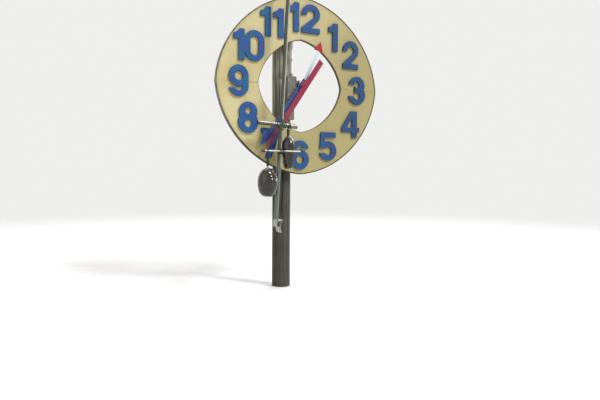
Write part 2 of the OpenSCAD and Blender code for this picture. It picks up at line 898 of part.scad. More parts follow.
// Cap pushed over the lower rod's left end
module rod_end_cap() {
    color([0.36, 0.10, 0.10]) on_lower_rod() translate([-lower_left - cap_wall, 0, 0])
        rotate([0, 90, 0]) difference() {
            cylinder(d = lower_d + 2 * cap_wall, h = cap_len, $fn = fine);
            translate([0, 0, cap_wall]) cylinder(d = lower_d, h = cap_len, $fn = fine);
        }
}

// Clamp that carries the lower rod in front of the pendulum's pipe
module lower_clamp() {
    color([0.34, 0.36, 0.33]) difference() {
        union() {
            on_pendulum() translate([0, 0, -lower_down])
                cylinder(d = rod_d + 2 * clamp_wall, h = clamp_h, center = true, $fn = fine);
            on_lower_rod() rotate([0, 90, 0])
                cylinder(d = clamp_socket_d, h = clamp_w, center = true, $fn = fine);
            on_lower_rod() translate([-clamp_lug / 2, 0, -clamp_lug / 2])
                cube([clamp_lug, lower_fore, clamp_lug]);
        }
        on_pendulum() translate([0, 0, -lower_down])
            cylinder(d = rod_d, h = 2 * clamp_h, center = true, $fn = fine);
        on_lower_rod() rotate([0, 90, 0])
            cylinder(d = lower_d, h = 2 * clamp_w, center = true, $fn = fine);
    }
}

// Small sizes of the weights' straps and eyes
strap_w = 26;
strap_t = 7;
tongue_t = 20;
eye_t = 8;
eye_w = 16;

// Sides of the weights from the bottom up, as shares of their radius and of their height
flask_side = [
    [0.44, 0], [0.60, 0.02], [0.70, 0.06], [0.77, 0.12], [0.84, 0.24], [0.91, 0.38], [0.97, 0.51],
    [1, 0.62], [0.99, 0.70], [0.93, 0.78], [0.81, 0.85], [0.62, 0.91], [0.40, 0.96]
];
egg_side = [
    [0.34, 0], [0.52, 0.02], [0.68, 0.07], [0.80, 0.14], [0.90, 0.24], [0.97, 0.36], [1, 0.48],
    [0.99, 0.58], [0.94, 0.69], [0.84, 0.80], [0.69, 0.89], [0.49, 0.96], [0.25, 0.99]
];

// Right weight: flask with high shoulders and a narrow neck, hung from a strap on the cross tube
module weight_right() {
    r = weight_r_d / 2;
    n = neck_d / 2;
    h = weight_r_h;
    neck_top = h + neck_len * 0.72;
    tongue_h = neck_len * 0.3;
    outline = concat([[0, 0]], [for (p = flask_side) [p[0] * r, p[1] * h]],
        [[n, h], [n, neck_top], [0, neck_top]]);
    color([0.22, 0.21, 0.19]) {
        on_weight_right() translate([0, 0, -h - neck_len]) rotate_extrude($fn = fine)
            polygon(outline);
        difference() {
            union() {
                on_pendulum() translate([weight_r_at, 0, -cross_down]) rotate([0, 90, 0])
                    cylinder(d = cross_d + 2 * strap_t, h = strap_w, center = true, $fn = fine);
                on_weight_right() translate([-strap_w / 2, -tongue_t / 2, -tongue_h])
                    cube([strap_w, tongue_t, tongue_h + cross_d / 2]);
            }
            on_pendulum() translate([weight_r_at, 0, -cross_down]) rotate([0, 90, 0])
                cylinder(d = cross_d, h = 3 * strap_w, center = true, $fn = fine);
        }
    }
}

// Plumb line below the cross tube, where the right weight hangs
module on_weight_right() {
    on_pendulum() translate([weight_r_at, 0, -cross_down]) rotate([0, -lean, 0])
        translate([0, weight_r_back, -cross_d / 2]) children();
}

// Left weight: broad egg-shaped body on a thin hanger
module weight_left() {
    r = weight_l_d / 2;
    h = weight_l_h;
    outline = concat([[0, 0]], [for (p = egg_side) [p[0] * r, p[1] * h]], [[0, h]]);
    color([0.20, 0.20, 0.18]) on_lower_rod() translate([-weight_l_at, 0, 0]) {
        translate([0, 0, -hanger_len - h]) rotate_extrude($fn = fine) polygon(outline);
        difference() {
            union() {
                rotate([0, 90, 0])
                    cylinder(d = lower_d + 2 * eye_t, h = eye_w, center = true, $fn = fine);
                translate([0, 0, -hanger_len - hanger_d / 2])
                    cylinder(d = hanger_d, h = hanger_len + hanger_d / 2 - lower_d / 2, $fn = fine);
            }
            rotate([0, 90, 0]) cylinder(d = lower_d, h = 3 * eye_w, center = true, $fn = fine);
        }
    }
}

// Curved blade at the foot, hollow side to the right, on a collar round the pipe
module paddle() {
    collar_h = 92;
    collar_t = 8;
    gap = collar_t / 2;
    low = 10;
    color([0.62, 0.62, 0.58]) on_pendulum() translate([0, 0, -rod_len]) difference() {
        union() {
            translate([rod_d / 2 + gap + paddle_r, 0, low]) intersection() {
                rotate([90, 0, 0]) difference() {
                    cylinder(r = paddle_r, h = paddle_w, center = true, $fn = fine);
                    cylinder(r = paddle_r - paddle_t, h = paddle_w + 2, center = true, $fn = fine);
                }
                translate([-paddle_r, 0, 0])
                    cube([paddle_r, paddle_w + 2, paddle_h], center = true);
            }
            cylinder(d = rod_d + 2 * collar_t, h = collar_h, $fn = fine);
        }
        translate([0, 0, -1]) cylinder(d = rod_d, h = collar_h + 2, $fn = fine);
    }
}

post();
crossarm(1);  // crossarm_top
crossarm(-1);  // crossarm_bottom
dial_board(1);  // dial_upper
dial_board(-1);  // dial_lower
rim_hoop();
hole_lining();
ribs(1);  // ribs_upper
ribs(-1);  // ribs_lower
splices();
numeral(1);  // numeral_1
numeral(2);  // numeral_2
numeral(3);  // numeral_3
numeral(4);  // numeral_4
numeral(5);  // numeral_5
numeral(6);  // numeral_6
numeral(7);  // numeral_7
numeral(8);  // numeral_8
numeral(9);  // numeral_9
numeral(10);  // numeral_10
numeral(11);  // numeral_11
numeral(12);  // numeral_12
clockwork_box();
box_shelf();
bearing_block();
drive_pipe();
pipe_clips();
hour_hand();
hour_arrow();
minute_hand();
sweep_hand();
suspension_beam();
pivot_bracket();
pivot_pin();
pendulum_head();
pendulum_rod();
cross_fitting();
cross_tube();
end_coupling();
lower_rod();
rod_end_cap();
lower_clamp();
weight_right();
weight_left();
paddle();
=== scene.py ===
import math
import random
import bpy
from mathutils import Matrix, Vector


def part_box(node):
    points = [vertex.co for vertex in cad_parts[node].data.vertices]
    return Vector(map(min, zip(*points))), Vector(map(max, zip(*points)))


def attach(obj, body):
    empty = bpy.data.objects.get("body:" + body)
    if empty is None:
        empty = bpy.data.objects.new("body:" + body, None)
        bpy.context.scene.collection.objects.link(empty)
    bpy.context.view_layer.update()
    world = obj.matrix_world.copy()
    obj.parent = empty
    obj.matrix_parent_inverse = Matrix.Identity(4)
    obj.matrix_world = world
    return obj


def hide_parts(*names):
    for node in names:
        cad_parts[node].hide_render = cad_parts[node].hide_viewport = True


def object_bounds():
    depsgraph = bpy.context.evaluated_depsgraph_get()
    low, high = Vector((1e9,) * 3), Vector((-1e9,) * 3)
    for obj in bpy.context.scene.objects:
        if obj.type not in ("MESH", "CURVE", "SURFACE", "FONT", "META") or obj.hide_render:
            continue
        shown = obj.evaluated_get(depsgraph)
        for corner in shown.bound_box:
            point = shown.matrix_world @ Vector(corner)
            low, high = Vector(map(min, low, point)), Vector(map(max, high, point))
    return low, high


bl_info = {
    "name": "Water-driven pendulum clock",
    "version": (1, 0, 0),
    "blender": (4, 5, 0),
    "location": "3D View > Sidebar > Clock",
    "description": "Gives the packed clock its timber, paint, steel and wet iron, and sets its stage",
    "category": "Object",
}

import bmesh
import bpy
from bpy.props import FloatProperty, FloatVectorProperty, IntProperty, PointerProperty
from mathutils import Matrix, Vector, noise

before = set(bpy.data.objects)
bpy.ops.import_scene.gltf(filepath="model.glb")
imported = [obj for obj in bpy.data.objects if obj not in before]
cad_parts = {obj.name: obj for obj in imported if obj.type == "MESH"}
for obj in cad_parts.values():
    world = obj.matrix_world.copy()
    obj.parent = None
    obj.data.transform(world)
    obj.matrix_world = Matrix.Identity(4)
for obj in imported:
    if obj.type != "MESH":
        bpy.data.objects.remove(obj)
CAD_LOW, CAD_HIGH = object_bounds()

# Places read from the frame
DIAL_LOW, DIAL_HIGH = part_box("rim_hoop")
DIAL_X = (DIAL_LOW.x + DIAL_HIGH.x) / 2
DIAL_Z = (DIAL_LOW.z + DIAL_HIGH.z) / 2
DIAL_R = (DIAL_HIGH.x - DIAL_LOW.x) / 2
FACE_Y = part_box("dial_upper")[0].y
BOARD_R = (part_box("dial_upper")[1].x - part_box("dial_upper")[0].x) / 2


def reach_at(node, angle, pick):
    """Radius of a ring-shaped node near an angle, by pick: max for its outline, min for its hole."""
    reaches = []
    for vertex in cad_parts[node].data.vertices:
        x, z = vertex.co.x - DIAL_X, vertex.co.z - DIAL_Z
        if abs(math.degrees(math.atan2(z, x)) - angle) < 2.5:
            reaches.append(math.hypot(x, z))
    return pick(reaches)


# How far the dial's two edges fall short of a circle, midway between 12, 3, 6 and 9
RIM_FLAT = DIAL_R - reach_at("rim_hoop", 45, max)
HOLE_R = reach_at("hole_lining", 0, min)
HOLE_FLAT = HOLE_R - reach_at("hole_lining", 45, min)


def srgb(red, green, blue):
    """Linear colour of a colour given as 0 to 255 on the screen."""
    return tuple(
        (c / 255 / 12.92) if c / 255 <= 0.04045 else ((c / 255 + 0.055) / 1.055) ** 2.4
        for c in (red, green, blue)
    )


def toned(colour, factor):
    """The colour made darker or paler by a factor."""
    return tuple(min(1, c * factor) for c in colour)


def colour_prop(name, description, red, green, blue):
    return FloatVectorProperty(
        name=name, description=description, default=srgb(red, green, blue),
        size=3, min=0, max=1, subtype="COLOR",
    )


def length_prop(name, description, default, low=0.0, high=1.0):
    return FloatProperty(
        name=name, description=description, default=default, min=low, max=high,
        subtype="DISTANCE", unit="LENGTH",
    )


# Sizes and colours


class ClockTimber(bpy.types.PropertyGroup):
    """Looks of the post, the crossarms, the ribs and the beam."""

    grey: colour_prop("Grey", "Weathered outside of the round timber", 146, 141, 128)
    pale: colour_prop("Pale grain", "Silvery streaks that the sun has bleached", 196, 192, 180)
    dark: colour_prop("Dark grain", "Lines and hollows of the grain", 80, 75, 65)
    sawn: colour_prop("Sawn timber", "Crossarms and beam", 132, 120, 100)
    rib: colour_prop("Rib timber", "Framing behind the boards", 150, 127, 94)
    rib_pale: colour_prop("Pale rib", "Streaks in the framing", 176, 156, 122)
    # Also painted as shade on the timber's side turned to -X.
    algae: colour_prop("Algae", "Green film where the timber stays damp", 86, 94, 58)
    columns: IntProperty(name="Columns", description="Faces round the post", default=176, min=24, max=240)
    row: length_prop("Row height", "Height of one row of the post's faces", 0.0145, 0.005, 0.2)
    check_depth: length_prop("Check depth", "Depth of the deepest drying check", 0.024, 0, 0.05)
    check_width: length_prop("Check width", "Half width of a drying check", 0.0042, 0.001, 0.02)
    checks: IntProperty(name="Checks", description="Number of drying checks", default=17, min=0, max=60)
    swell: length_prop("Swell", "How far the post's side wanders in and out", 0.004, 0, 0.01)
    edge: length_prop("Eased edge", "Rounding of the sawn timbers' edges", 0.004, 0, 0.02)


class ClockDial(bpy.types.PropertyGroup):
    """Looks of the dial and its numerals."""

    cream: colour_prop("Face", "Cream-yellow paint of the face", 190, 176, 122)
    cream_faded: colour_prop("Faded face", "Paint where the sun has bleached it", 201, 190, 142)
    cream_dull: colour_prop("Dull face", "Paint under grime, towards the right", 159, 147, 98)
    # Also painted as the weights' shadow on the lower left of the face.
    stain: colour_prop("Stain", "Brown-green stain below and by the edges", 156, 148, 86)
    joint: colour_prop("Joint", "Swollen edge along the joint line", 168, 120, 70)
    blue: colour_prop("Numerals", "Blue paint of the numerals", 42, 80, 142)
    blue_teal: colour_prop("Faded numerals", "Blue gone greenish in the sun", 34, 92, 132)
    blue_grey: colour_prop("Dull numerals", "Blue under grime, towards the right", 40, 68, 102)
    blue_violet: colour_prop("Violet patches", "Blue gone purplish where it peels", 58, 68, 126)
    blue_dark: colour_prop("Numerals' sides", "Shaded and dirty blue", 30, 52, 92)
    hoop: colour_prop("Edging", "Dark paint of the bent edging", 38, 32, 22)
    # Also painted light on the outside of the edging towards the upper left.
    hoop_grey_lit: colour_prop("Bleached edging", "Grey timber where the paint has gone", 134, 132, 118)
    lining: colour_prop("Lining", "Brown-olive lining of the hole", 74, 62, 32)
    back: colour_prop("Back", "Grey primer behind the boards", 128, 122, 108)
    edge: length_prop("Eased edge", "Rounding of the numerals' edges", 0.0035, 0, 0.01)
    edge_rib: length_prop("Edge rib", "Width of the curved ribs, with the lining", 0.056, 0.03, 0.1)
    screw_r: length_prop("Screw radius", "Radius of a painted screw head", 0.0065, 0.002, 0.02)


class ClockMetal(bpy.types.PropertyGroup):
    """Looks of the clockwork, the hands and the pendulum."""

    enamel: colour_prop("Box", "Grey enamel of the clockwork box", 116, 113, 103)
    iron: colour_prop("Iron", "Dark oiled iron", 44, 43, 44)
    rust: colour_prop("Rust", "Rust in joints and on worn spots", 118, 66, 36)
    zinc: colour_prop("Zinc", "Dull galvanised steel", 168, 170, 168)
    drive: colour_prop("Drive pipe", "Pale galvanised pipe", 240, 241, 232)
    bright: colour_prop("Bright steel", "Pin, nuts and bolts", 165, 164, 160)
    hour: colour_prop("Hour hand", "Pale blue-white paint", 190, 208, 214)
    arrow: colour_prop("Arrowhead", "Red paint", 158, 38, 40)
    minute: colour_prop("Minute hand", "Blue paint", 60, 80, 150)
    minute_faded: colour_prop("Faded minute hand", "Blue gone greenish", 58, 98, 132)
    sweep: colour_prop("Sweep hand", "Crimson paint", 137, 40, 64)
    sweep_faded: colour_prop("Faded sweep hand", "Crimson gone dull towards the tip", 122, 70, 92)
    pipe: colour_prop("Pendulum pipe", "Green-grey paint of the pipe", 66, 74, 58)
    pipe_worn: colour_prop("Worn pipe", "Zinc where the paint has gone", 128, 130, 120)
    # Painted highlight in runs down the pipe's side towards the right.
    pipe_painted_highlight: colour_prop("Limed pipe", "Pale lime down the side that stays wet", 176, 176, 158)
    # Painted shade down the pipe's side away from the light.
    pipe_painted_shade: colour_prop("Algae on the pipe", "Dark film down the shaded side", 50, 52, 40)
    pipe_washed: colour_prop("Washed pipe", "Green-grey where the pipe is washed clean", 90, 104, 88)
    fitting: colour_prop("Fitting", "Green paint of the cast fitting", 26, 58, 40)
    tube: colour_prop("Tube", "Galvanised cross tube", 190, 186, 172)
    # Dirt in streaks, and painted shade on undersides and in open ends.
    grime: colour_prop("Grime", "Brown dirt on undersides and in open ends", 62, 52, 40)
    coupling: colour_prop("Coupling", "White plastic", 222, 218, 204)
    cap: colour_prop("Cap", "Dark red cap", 82, 24, 24)
    weight: colour_prop("Weight", "Dark wet iron", 22, 18, 13)
    # Lime in streaks; also the painted highlight on the weights' tops.
    weight_lime_and_glare: colour_prop("Lime", "Lime in streaks and in a crust on top", 104, 99, 88)
    paddle: colour_prop("Paddle", "Galvanised plate with lime", 160, 160, 150)
    edge: length_prop("Eased edge", "Rounding of the hands' and the box's edges", 0.0015, 0, 0.01)


class ClockStage(bpy.types.PropertyGroup):
    """Camera, lamps and floor."""

    eye: FloatVectorProperty(
        name="Eye", description="Place of the camera", default=(-2.92, -6.838, 1.598),
        size=3, subtype="TRANSLATION", unit="LENGTH",
    )
    heading: FloatProperty(
        name="Heading", description="Turn of the camera from +Y towards +X",
        default=math.radians(25.2), subtype="ANGLE", unit="ROTATION",
    )
    pitch: FloatProperty(
        name="Pitch", description="How far the camera looks down",
        default=math.radians(2.84), subtype="ANGLE", unit="ROTATION",
    )
    roll: FloatProperty(
        name="Roll", description="Turn of the camera round its own axis",
        default=math.radians(0.24), subtype="ANGLE", unit="ROTATION",
    )
    lens: FloatProperty(name="Lens", description="Focal length in mm", default=31.2, min=10, max=200)
    floor_r: length_prop("Floor", "Radius of the floor", 16.0, 1, 100)
    key: FloatProperty(name="Key", description="Strength of the key lamp", default=2.3, min=0, max=20)
    fill: FloatProperty(name="Fill", description="Strength of the fill lamp", default=0.55, min=0, max=20)
    rim: FloatProperty(name="Rim", description="Strength of the side lamp and, weakened, of the top lamp",
                       default=1.5, min=0, max=20)
    sky: FloatProperty(name="Sky", description="Strength of the light from all round", default=0.42,
                       min=0, max=5)


# Materials


class Finish:
    """One node material, built a step at a time. Its coordinates are those of the frame."""

    def __init__(self, name, rough=0.6, metal=0.0):
        self.material = bpy.data.materials.new(name)
        self.material.use_nodes = True
        self.tree = self.material.node_tree
        self.shader = self.tree.nodes["Principled BSDF"]
        self.shader.inputs["Roughness"].default_value = rough
        self.shader.inputs["Metallic"].default_value = metal
        self.coords = self.add("ShaderNodeTexCoord")
        self.space = self.coords.outputs["Object"]
        self.height = None

    def add(self, kind, **settings):
        made = self.tree.nodes.new(kind)
        for key, value in settings.items():
            setattr(made, key, value)
        return made

    def put(self, value, socket):
        """Links an output, or sets a plain value, on a socket."""
        if isinstance(value, bpy.types.NodeSocket):
            self.tree.links.new(value, socket)
        elif socket.type == "RGBA":
            socket.default_value = (*value[:3], 1)
        else:
            socket.default_value = value

    def place(self, stretch=(1, 1, 1), shift=(0, 0, 0)):
        mapped = self.add("ShaderNodeMapping")
        self.put(self.space, mapped.inputs["Vector"])
        mapped.inputs["Scale"].default_value = stretch
        mapped.inputs["Location"].default_value = shift
        return mapped.outputs["Vector"]

    def noise(self, scale, detail=4.0, stretch=(1, 1, 1), rough=0.55, warp=0.0, shift=(0, 0, 0)):
        made = self.add("ShaderNodeTexNoise")
        self.put(self.place(stretch, shift), made.inputs["Vector"])
        made.inputs["Scale"].default_value = scale
        made.inputs["Detail"].default_value = detail
        made.inputs["Roughness"].default_value = rough
        made.inputs["Distortion"].default_value = warp
        return made.outputs["Fac"]

    def cells(self, scale, feature="F1", output="Distance"):
        made = self.add("ShaderNodeTexVoronoi", feature=feature)
        self.put(self.place(), made.inputs["Vector"])
        made.inputs["Scale"].default_value = scale
        return made.outputs[output]

    def math(self, operation, a, b=0.0):
        made = self.add("ShaderNodeMath", operation=operation)
        self.put(a, made.inputs[0])
        self.put(b, made.inputs[1])
        return made.outputs[0]

    def span(self, value, low, high, to_low=0.0, to_high=1.0):
        """value taken from low..high to to_low..to_high, held at the ends, with a soft start and stop."""
        made = self.add("ShaderNodeMapRange", interpolation_type="SMOOTHSTEP")
        self.put(value, made.inputs["Value"])
        for key, number in (("From Min", low), ("From Max", high), ("To Min", to_low), ("To Max", to_high)):
            made.inputs[key].default_value = number
        return made.outputs["Result"]

    def mix(self, share, a, b):
        made = self.add("ShaderNodeMix", data_type="RGBA")
        self.put(share, made.inputs["Factor"])
        self.put(a, [s for s in made.inputs if s.name == "A" and s.type == "RGBA"][0])
        self.put(b, [s for s in made.inputs if s.name == "B" and s.type == "RGBA"][0])
        return [s for s in made.outputs if s.type == "RGBA"][0]

    def axis(self, letter, normal=False):
        split = self.add("ShaderNodeSeparateXYZ")
        self.put(self.coords.outputs["Normal" if normal else "Object"], split.inputs[0])
        return split.outputs[letter]

    def radius(self, x, z):
        """Distance from the line through (x, z) along Y."""
        dx = self.math("SUBTRACT", self.axis("X"), x)
        dz = self.math("SUBTRACT", self.axis("Z"), z)
        return self.math("SQRT", self.math("ADD", self.math("MULTIPLY", dx, dx), self.math("MULTIPLY", dz, dz)))

    def from_centre(self, flat):
        """Distance from the dial's centre, made even along an outline that falls short of a circle by flat."""
        dx = self.math("SUBTRACT", self.axis("X"), DIAL_X)
        dz = self.math("SUBTRACT", self.axis("Z"), DIAL_Z)
        square = self.math("ADD", self.math("MULTIPLY", dx, dx), self.math("MULTIPLY", dz, dz))
        cross = self.math("DIVIDE", self.math("ABSOLUTE", self.math("MULTIPLY", dx, dz)), square)
        return self.math("ADD", self.math("SQRT", square), self.math("MULTIPLY", cross, 2 * flat))

    def bend_round_dial(self, edge_rib):
        """Bends the patterns that follow round the dial: X runs along its curved and its straight ribs."""
        dx = self.math("SUBTRACT", self.axis("X"), DIAL_X)
        dz = self.math("SUBTRACT", self.axis("Z"), DIAL_Z)
        turn, reach = self.math("ARCTAN2", dz, dx), self.radius(DIAL_X, DIAL_Z)
        outer = self.math("GREATER_THAN", self.from_centre(RIM_FLAT), BOARD_R - edge_rib)
        inner = self.math("LESS_THAN", self.from_centre(HOLE_FLAT), HOLE_R + edge_rib)
        made = self.add("ShaderNodeMix", data_type="VECTOR")
        self.put(self.math("MAXIMUM", outer, inner), made.inputs["Factor"])
        for letter, first, last in (("A", reach, turn), ("B", turn, reach)):
            spot = self.add("ShaderNodeCombineXYZ")
            for value, name in ((first, "X"), (self.axis("Y"), "Y"), (last, "Z")):
                self.put(value, spot.inputs[name])
            self.put(spot.outputs[0], [s for s in made.inputs if s.name == letter and s.type == "VECTOR"][0])
        self.space = [s for s in made.outputs if s.type == "VECTOR"][0]

    def along(self, point, direction):
        """Distance from point along a direction."""
        moved = self.add("ShaderNodeVectorMath", operation="SUBTRACT")
        self.put(self.coords.outputs["Object"], moved.inputs[0])
        moved.inputs[1].default_value = point
        made = self.add("ShaderNodeVectorMath", operation="DOT_PRODUCT")
        self.put(moved.outputs[0], made.inputs[0])
        made.inputs[1].default_value = direction
        return made.outputs["Value"]

    def off_line(self, point, direction):
        """Distance from the line through point along a direction."""
        moved = self.add("ShaderNodeVectorMath", operation="SUBTRACT")
        self.put(self.coords.outputs["Object"], moved.inputs[0])
        moved.inputs[1].default_value = point
        across = self.add("ShaderNodeVectorMath", operation="CROSS_PRODUCT")
        self.put(moved.outputs[0], across.inputs[0])
        across.inputs[1].default_value = direction
        made = self.add("ShaderNodeVectorMath", operation="LENGTH")
        self.put(across.outputs[0], made.inputs[0])
        return made.outputs["Value"]

    def raise_by(self, value, amount):
        """Adds value times amount, in metres, to the height of the surface's bumps."""
        step = self.math("MULTIPLY", value, amount)
        self.height = step if self.height is None else self.math("ADD", self.height, step)

    def done(self, colour, rough=None):
        self.put(colour, self.shader.inputs["Base Color"])
        if rough is not None:
            self.put(rough, self.shader.inputs["Roughness"])
        if self.height is not None:
            bump = self.add("ShaderNodeBump")
            bump.inputs["Strength"].default_value = 1.0
            bump.inputs["Distance"].default_value = 1.0
            self.put(self.height, bump.inputs["Height"])
            self.put(bump.outputs["Normal"], self.shader.inputs["Normal"])
        return self.material


def timber_finish(name, colour, dark, along, pale=None, algae=None, darker_below=0.0, edge_rib=0.0, pith=None):
    """Weathered timber whose fibres run along "X", "Y" or "Z", or along the dial's ribs where edge_rib is set.

    pith is a point on the middle of the tree, and gives the cut ends their growth rings.
    """
    fin = Finish(name, rough=0.85)
    grain = 0.0006
    if edge_rib:
        fin.bend_round_dial(edge_rib)
    thin, long = 1.0, 0.035
    stretch = tuple(long if along == a else thin for a in "XYZ")
    fibres = fin.noise(190, 3, stretch, warp=0.2)
    broad = fin.noise(26, 4, stretch, warp=0.4)
    patches = fin.noise(2.6, 3)
    pale = pale or toned(colour, 1.28)
    tone = fin.mix(fin.span(broad, 0.34, 0.56), dark, colour)
    tone = fin.mix(fin.span(fibres, 0.34, 0.50, 0.45, 0.0), tone, dark)
    streaks = fin.noise(38, 3, tuple(0.02 if along == a else 1.0 for a in "XYZ"), shift=(3, 5, 7))
    tone = fin.mix(fin.span(streaks, 0.54, 0.66, 0.0, 0.75), tone, pale)
    tone = fin.mix(fin.span(patches, 0.52, 0.72, 0.0, 0.35), tone, pale)
    if algae is not None:
        damp = fin.noise(5, 4, (1, 1, 0.35))
        # Painted shade: faces turned to -X take the algae colour, for the side away from the light; the damp
        # patches are real algae.
        painted_side_shade = fin.span(fin.axis("X", normal=True), -0.95, -0.25, 0.45, 0.0)
        tone = fin.mix(fin.math("MAXIMUM", painted_side_shade, fin.span(damp, 0.60, 0.74, 0.0, 0.35)), tone, algae)
    # Darker towards the foot, below the given height, with a ragged edge.
    if darker_below:
        low = fin.math("ADD", fin.axis("Z"), fin.math("MULTIPLY", patches, 0.8))
        wet = fin.span(low, darker_below * 0.75, darker_below, 0.93, 0.0)
        tone = fin.mix(wet, tone, toned(dark, 0.36))
    if pith is not None:
        ends = fin.span(fin.math("ABSOLUTE", fin.axis(along, normal=True)), 0.8, 0.95)
        reach = fin.off_line(pith, tuple(1.0 if along == a else 0.0 for a in "XYZ"))
        wander = fin.math("MULTIPLY", fin.noise(11, 3, shift=(1, 4, 6)), 0.020)
        ring = fin.math("SINE", fin.math("MULTIPLY", fin.math("ADD", reach, wander), 2 * math.pi / 0.0085))
        tone = fin.mix(fin.math("MULTIPLY", ends, fin.span(ring, -0.1, 0.9, 0.0, 0.6)), tone, dark)
        fin.raise_by(fin.math("MULTIPLY", ends, ring), grain)
    fin.raise_by(fibres, grain)
    fin.raise_by(broad, grain * 4)
    return fin.done(tone, fin.span(patches, 0.3, 0.7, 0.92, 0.72))


def paint_finish(name, colour, under, faded=None, rough=0.45, chips=0.4, streaks=0.35, change=None, wet=0.0,
                 sides=None):
    """Outdoor paint: bleached patches, rain streaks and chips down to what is under it.

    change is (point, direction, length, colour): the paint turns to that colour on the way from the point.
    sides is (pale, dark, washed, height): a painted highlight in runs on the side towards the right, painted
    shade on the side away from it, and below the height the tone of paint that is washed clean.
    wet is the weight of a clear wet film.
    """
    fin = Finish(name, rough=rough)
    fin.shader.inputs["Specular IOR Level"].default_value = 0.3
    if wet:
        fin.shader.inputs["Coat Weight"].default_value = wet
        fin.shader.inputs["Coat Roughness"].default_value = 0.12
    patches = fin.noise(3.2, 4)
    rain = fin.noise(24, 4, (1, 1, 0.06))
    specks = fin.noise(85, 3, rough=0.7)
    tone = fin.mix(fin.span(patches, 0.38, 0.68), colour, faded or toned(colour, 1.22))
    if change is not None:
        point, direction, length, other = change
        way = fin.math("ADD", fin.along(point, direction), fin.math("MULTIPLY", patches, length * 0.3))
        tone = fin.mix(fin.span(way, length * 0.15, length * 1.15), tone, other)
    tone = fin.mix(fin.span(rain, 0.52, 0.78, 0.0, streaks), tone, toned(colour, 0.55))
    if sides is not None:
        # Painted shade on the side turned away from the light, and a painted highlight in runs on the side
        # towards the right, both above the height.
        highlight_colour, shade_colour, washed, height = sides
        upper = fin.span(fin.axis("Z"), height - 0.25, height, 0.15, 1.0)
        tone = fin.mix(fin.span(upper, 0.15, 1.0, 0.8, 0.0), tone, washed)
        ragged = fin.math("MULTIPLY", fin.noise(12, 4, (1, 1, 0.3)), 0.5)
        turned = fin.math("ADD", fin.axis("X", normal=True), ragged)
        tone = fin.mix(fin.math("MULTIPLY", upper, fin.span(turned, -0.30, 0.0, 0.75, 0.0)), tone, shade_colour)
        runs = fin.span(fin.noise(9, 5, (1, 1, 0.12)), 0.40, 0.55)
        painted_highlight = fin.math("MULTIPLY", fin.span(turned, 0.30, 0.48), runs)
        tone = fin.mix(fin.math("MULTIPLY", fin.math("MULTIPLY", painted_highlight, 0.7), upper), tone, highlight_colour)
    chipped = fin.span(fin.math("ADD", specks, fin.math("MULTIPLY", patches, 0.45)), 0.93, 0.97, 0.0, chips)
    tone = fin.mix(chipped, tone, under)
    fin.raise_by(chipped, -0.0004)
    fin.raise_by(fin.noise(420, 2), 0.00012)
    return fin.done(tone, fin.span(patches, 0.3, 0.75, rough - 0.06, rough + 0.16))


def zinc_finish(name, colour, rust, rough=0.42, spangle=70, wear=0.35, metal=0.75, below=None, shade_to=0.1,
                bore=None):
    """Galvanised steel: spangle, dull streaks, white bloom and a little rust.

    below is a colour painted as shade on surfaces that face down, up to where their normal's Z reaches the
    limit given after it.
    bore is (point, direction, radius) of a bore painted dark, as shade inside an open end.
    """
    fin = Finish(name, rough=rough, metal=metal)
    grains = fin.cells(spangle, output="Color")
    gray = fin.add("ShaderNodeSeparateColor")
    fin.put(grains, gray.inputs[0])
    rain = fin.noise(30, 4, (1, 1, 0.07))
    patches = fin.noise(6, 4)
    tone = fin.mix(fin.span(gray.outputs[0], 0.1, 0.9, 0.0, 0.35), colour, toned(colour, 0.68))
    tone = fin.mix(fin.span(rain, 0.5, 0.75, 0.0, 0.5), tone, toned(colour, 0.5))
    tone = fin.mix(fin.span(patches, 0.56, 0.74, 0.0, 0.5), tone, toned(colour, 1.35))
    red = fin.span(fin.math("MULTIPLY", fin.noise(40, 5), patches), 0.33, 0.42, 0.0, wear)
    tone = fin.mix(red, tone, rust)
    if below is not None:
        # Painted shade: faces turned down take the below colour.
        underside_shade = fin.math("ADD", fin.axis("Z", normal=True), fin.math("MULTIPLY", fin.noise(34, 4), 0.4))
        tone = fin.mix(fin.span(underside_shade, shade_to - 0.45, shade_to, 0.9, 0.0), tone, below)
    # Painted shade inside the open bore.
    if bore is not None:
        point, direction, radius = bore
        inside = fin.span(fin.off_line(point, direction), radius - 0.0006, radius + 0.0006, 1.0, 0.0)
        tone = fin.mix(inside, tone, toned(below or rust, 0.5))
    fin.raise_by(fin.noise(160, 3), 0.00015)
    return fin.done(tone, fin.span(patches, 0.3, 0.7, rough - 0.08, rough + 0.2))


def iron_finish(name, colour, rust, rough=0.5, rusty=0.5):
    """Cast or forged iron with an oily skin, grainy from the mould, and rust that creeps in."""
    fin = Finish(name, rough=rough, metal=0.55)
    grain = 0.0005
    patches = fin.noise(9, 5)
    sand = fin.noise(210, 4, rough=0.65)
    tone = fin.mix(fin.span(patches, 0.35, 0.7), colour, toned(colour, 1.9))
    creeping = fin.span(fin.math("ADD", patches, fin.math("MULTIPLY", sand, 0.35)), 0.72, 0.84, 0.0, rusty)
    tone = fin.mix(creeping, tone, rust)
    fin.raise_by(sand, grain)
    fin.raise_by(patches, grain * 1.5)
    return fin.done(tone, fin.span(patches, 0.35, 0.7, rough - 0.1, rough + 0.25))


